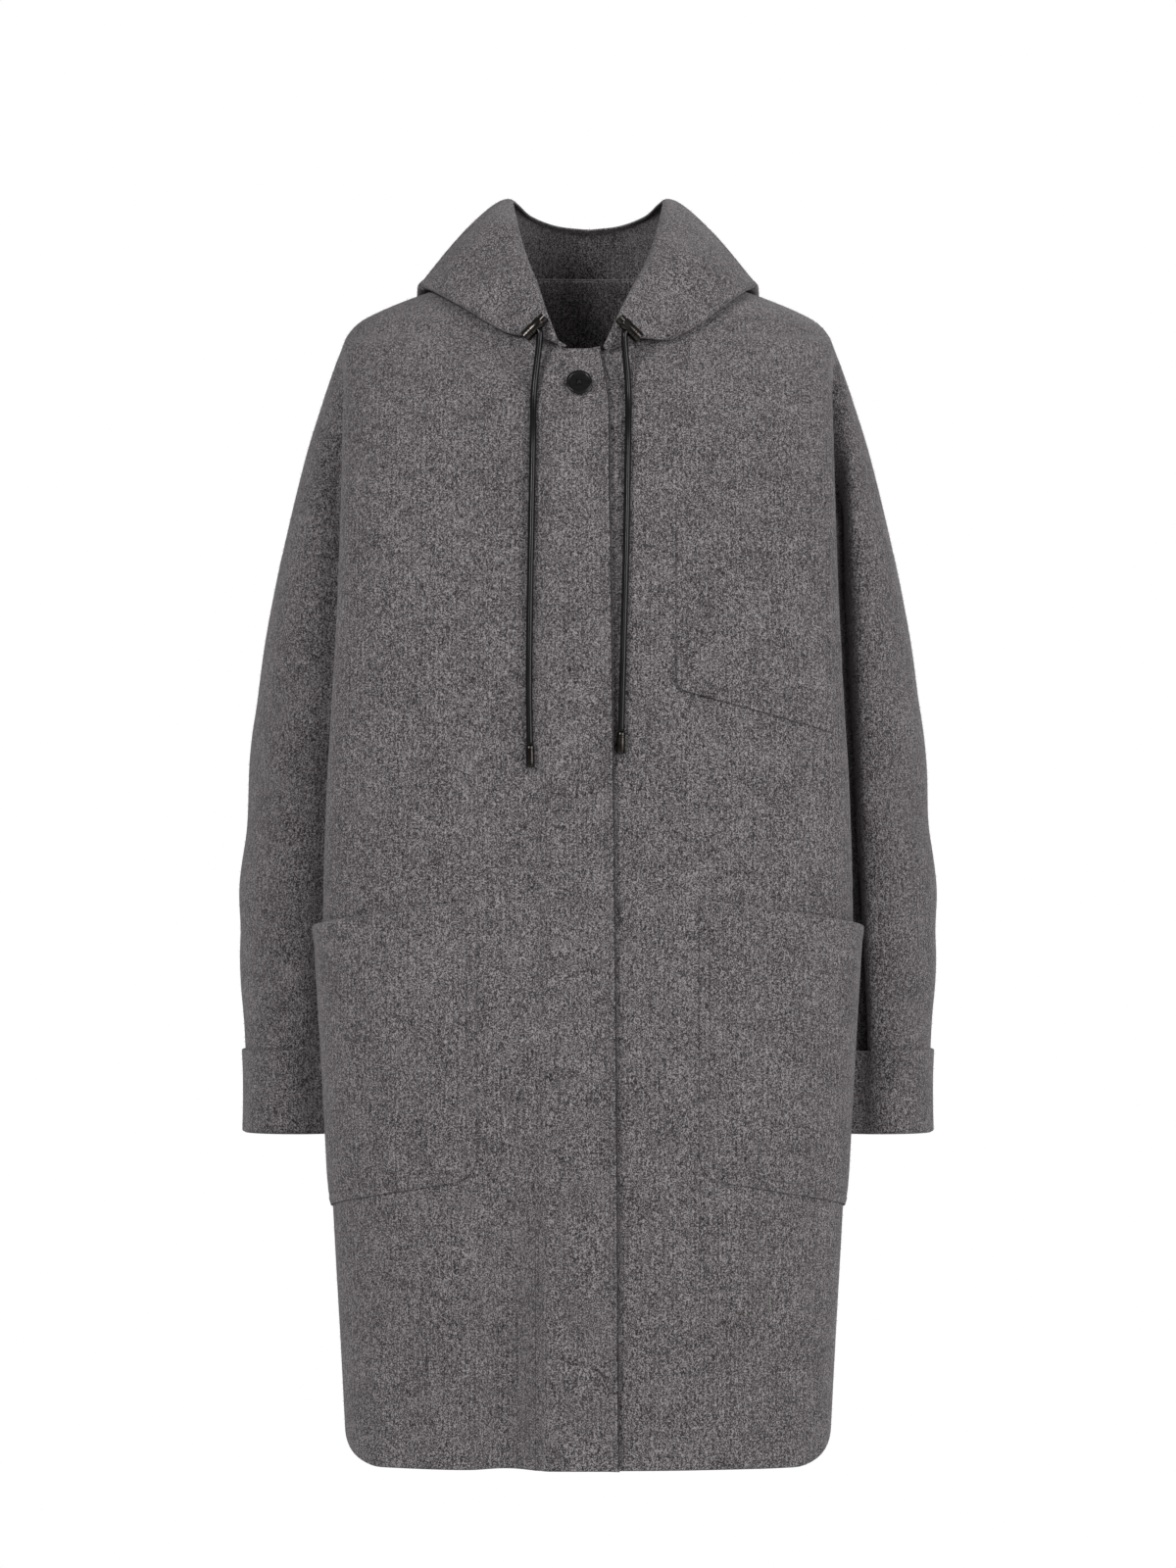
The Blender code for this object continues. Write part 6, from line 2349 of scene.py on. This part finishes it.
    def lock(self, shop: Workshop) -> Object:
        """The barrel lock: a turned barrel with a push button at one end and the cord's bore across it.

        Args:
            shop: the shared finishes and trees.

        Returns:
            The placed piece.
        """
        place, axis, along = self.lock_frame()
        half, radius, edge = self.lock_length / 2, self.lock_radius, self.edge_break
        collar = -half + self.lock_collar
        profile = [(radius * 0.66, -half), (radius * 0.80, -half + edge * 0.4), (radius * 0.86, -half + edge)]
        profile += [(radius * 0.86, collar - edge * 0.8), (radius * 0.74, collar - edge * 0.5)]
        profile += [(radius * 0.74, collar), (radius * 0.93, collar), (radius, collar + edge)]
        for band in (0.62, 0.74):
            groove = collar + (half - collar) * band
            profile += [(radius, groove - edge * 0.5), (radius * 0.95, groove), (radius, groove + edge * 0.5)]
        profile += [(radius, half - edge), (radius * 0.95, half - edge * 0.35), (radius * 0.82, half)]
        barrel = turned_mesh(profile, 56)
        barrel.transform(standing(place, axis))
        bore = turned_mesh(((self.bore_radius, -self.lock_length), (self.bore_radius, self.lock_length)), 40)
        bore.transform(standing(place, along))
        name = self.side.named("cord_lock")
        return placed(carved(f"metal_{name}", barrel, [bore], shop.gunmetal), METAL_SLOT, name)


@dataclass
class Studio:
    """A pale floor, a white surround, soft lights and the camera at the photograph's place."""

    camera_place: tuple[float, float, float] = (0.0, -6.0, -0.398)
    lens: float = 168.75
    sensor: float = 36.0
    floor_z: float = -1.42
    floor_radius: float = 3.2
    floor_sides: int = 96
    surround: float = 0.22
    key_power: float = 84.0
    fill_power: float = 98.0
    back_power: float = 60.0

    def camera(self) -> None:
        """The camera, level and square to the coat."""
        made = bpy.data.cameras.new("photo_camera")
        made.lens, made.sensor_width = self.lens, self.sensor
        camera = in_scene("photo_camera", made)
        camera.location = self.camera_place
        camera.rotation_euler = (math.pi / 2, 0.0, 0.0)
        bpy.context.scene.camera = camera

    def light(self, name: str, place: tuple[float, float, float], size: float, power: float) -> None:
        """A soft square light that faces the coat.

        Args:
            name: the light's name.
            place: where it stands.
            size: its width.
            power: in watts.
        """
        made = bpy.data.lights.new(name, "AREA")
        made.size, made.energy = size, power
        lamp = in_scene(name, made)
        lamp.location = place
        toward = Vector((0.0, 0.0, -0.40)) - Vector(place)
        lamp.rotation_euler = toward.to_track_quat("-Z", "Y").to_euler()

    def floor(self) -> None:
        """A round pale floor well below the hem."""
        material, kit, shader = new_material("pale_floor")
        kit.feed(shader, {"Base Color": (0.80, 0.80, 0.79, 1.0), "Roughness": 0.85})
        count = self.floor_sides
        ring = np.concatenate([circle(count), np.zeros((1, 2))]) * self.floor_radius
        points = np.insert(ring, 2, self.floor_z, axis=1)
        faces = [(k, (k + 1) % count, count) for k in range(count)]
        mesh_object("floor", points, faces, material)

    def build(self) -> None:
        """Sets up the whole studio."""
        self.camera()
        world = bpy.data.worlds.new("white_surround")
        bpy.context.scene.world = world
        world.use_nodes = True
        kit, nodes, white = NodeKit(world.node_tree), world.node_tree.nodes, (1.0, 1.0, 1.0, 1.0)
        lit = kit.feed(nodes["Background"], {"Color": white, "Strength": self.surround})
        shown = kit.add("ShaderNodeBackground", {"Color": white})
        seen = kit.add("ShaderNodeLightPath").outputs["Is Camera Ray"]
        either = kit.add("ShaderNodeMixShader", {0: seen, 1: lit.outputs[0], 2: shown.outputs[0]})
        kit.feed(nodes["World Output"], {"Surface": either.outputs[0]})
        self.light("key", (-2.2, -3.8, 1.7), 1.2, self.key_power)
        self.light("fill", (3.2, -3.2, 1.0), 2.8, self.fill_power)
        self.light("back", (1.9, 4.0, 1.5), 2.0, self.back_power)
        self.floor()
        bpy.context.scene.view_settings.view_transform = "Standard"


CORD_ROUTES = {
    Side.RIGHT: (
        (-0.0432, -0.0850),
        (-0.0440, -0.1300),
        (-0.0452, -0.2000),
        (-0.0464, -0.2700),
        (-0.0468, -0.3200),
        (-0.0464, -0.3500),
        (-0.0460, -0.3676),
    ),
    Side.LEFT: (
        (0.0322, -0.0850),
        (0.0318, -0.1300),
        (0.0306, -0.2000),
        (0.0290, -0.2600),
        (0.0276, -0.3100),
        (0.0268, -0.3400),
        (0.0264, -0.3568),
    ),
}


def main() -> None:
    """Builds the studio and every piece of the coat in order."""
    logging.basicConfig(level=logging.INFO, format="%(name)s %(message)s")
    Studio().build()
    shop = Workshop.open()
    body = BodyForm()
    sleeve = SleeveForm(body)
    Drawcord(body, Side.LEFT, 0.0331, -0.0320, 0.0249, CORD_ROUTES[Side.LEFT]).build(shop)
    Drawcord(body, Side.RIGHT, -0.0425, -0.0310, 0.0266, CORD_ROUTES[Side.RIGHT]).build(shop)
    CoatBody(body, sleeve).build(shop)
    FlyStrip(body).build(shop)
    Sleeves(sleeve).build(shop)
    Hood(body).build(shop)
    hip = (0.0885, 0.2680, -0.4900, -0.5160, -0.7120, -0.7420, 0.018, 0.0045)
    for side in Side:
        PatchPocket(body, side.named("pocket"), side, *hip).build(shop)
    chest = (0.0705, 0.2030, -0.1740, -0.2080, -0.3220, -0.3580, 0.008, 0.0008)
    PatchPocket(body, "chest_pocket", Side.LEFT, *chest).build(shop)
    FlyButton(body).build(shop)


if __name__ == "__main__":
    main()
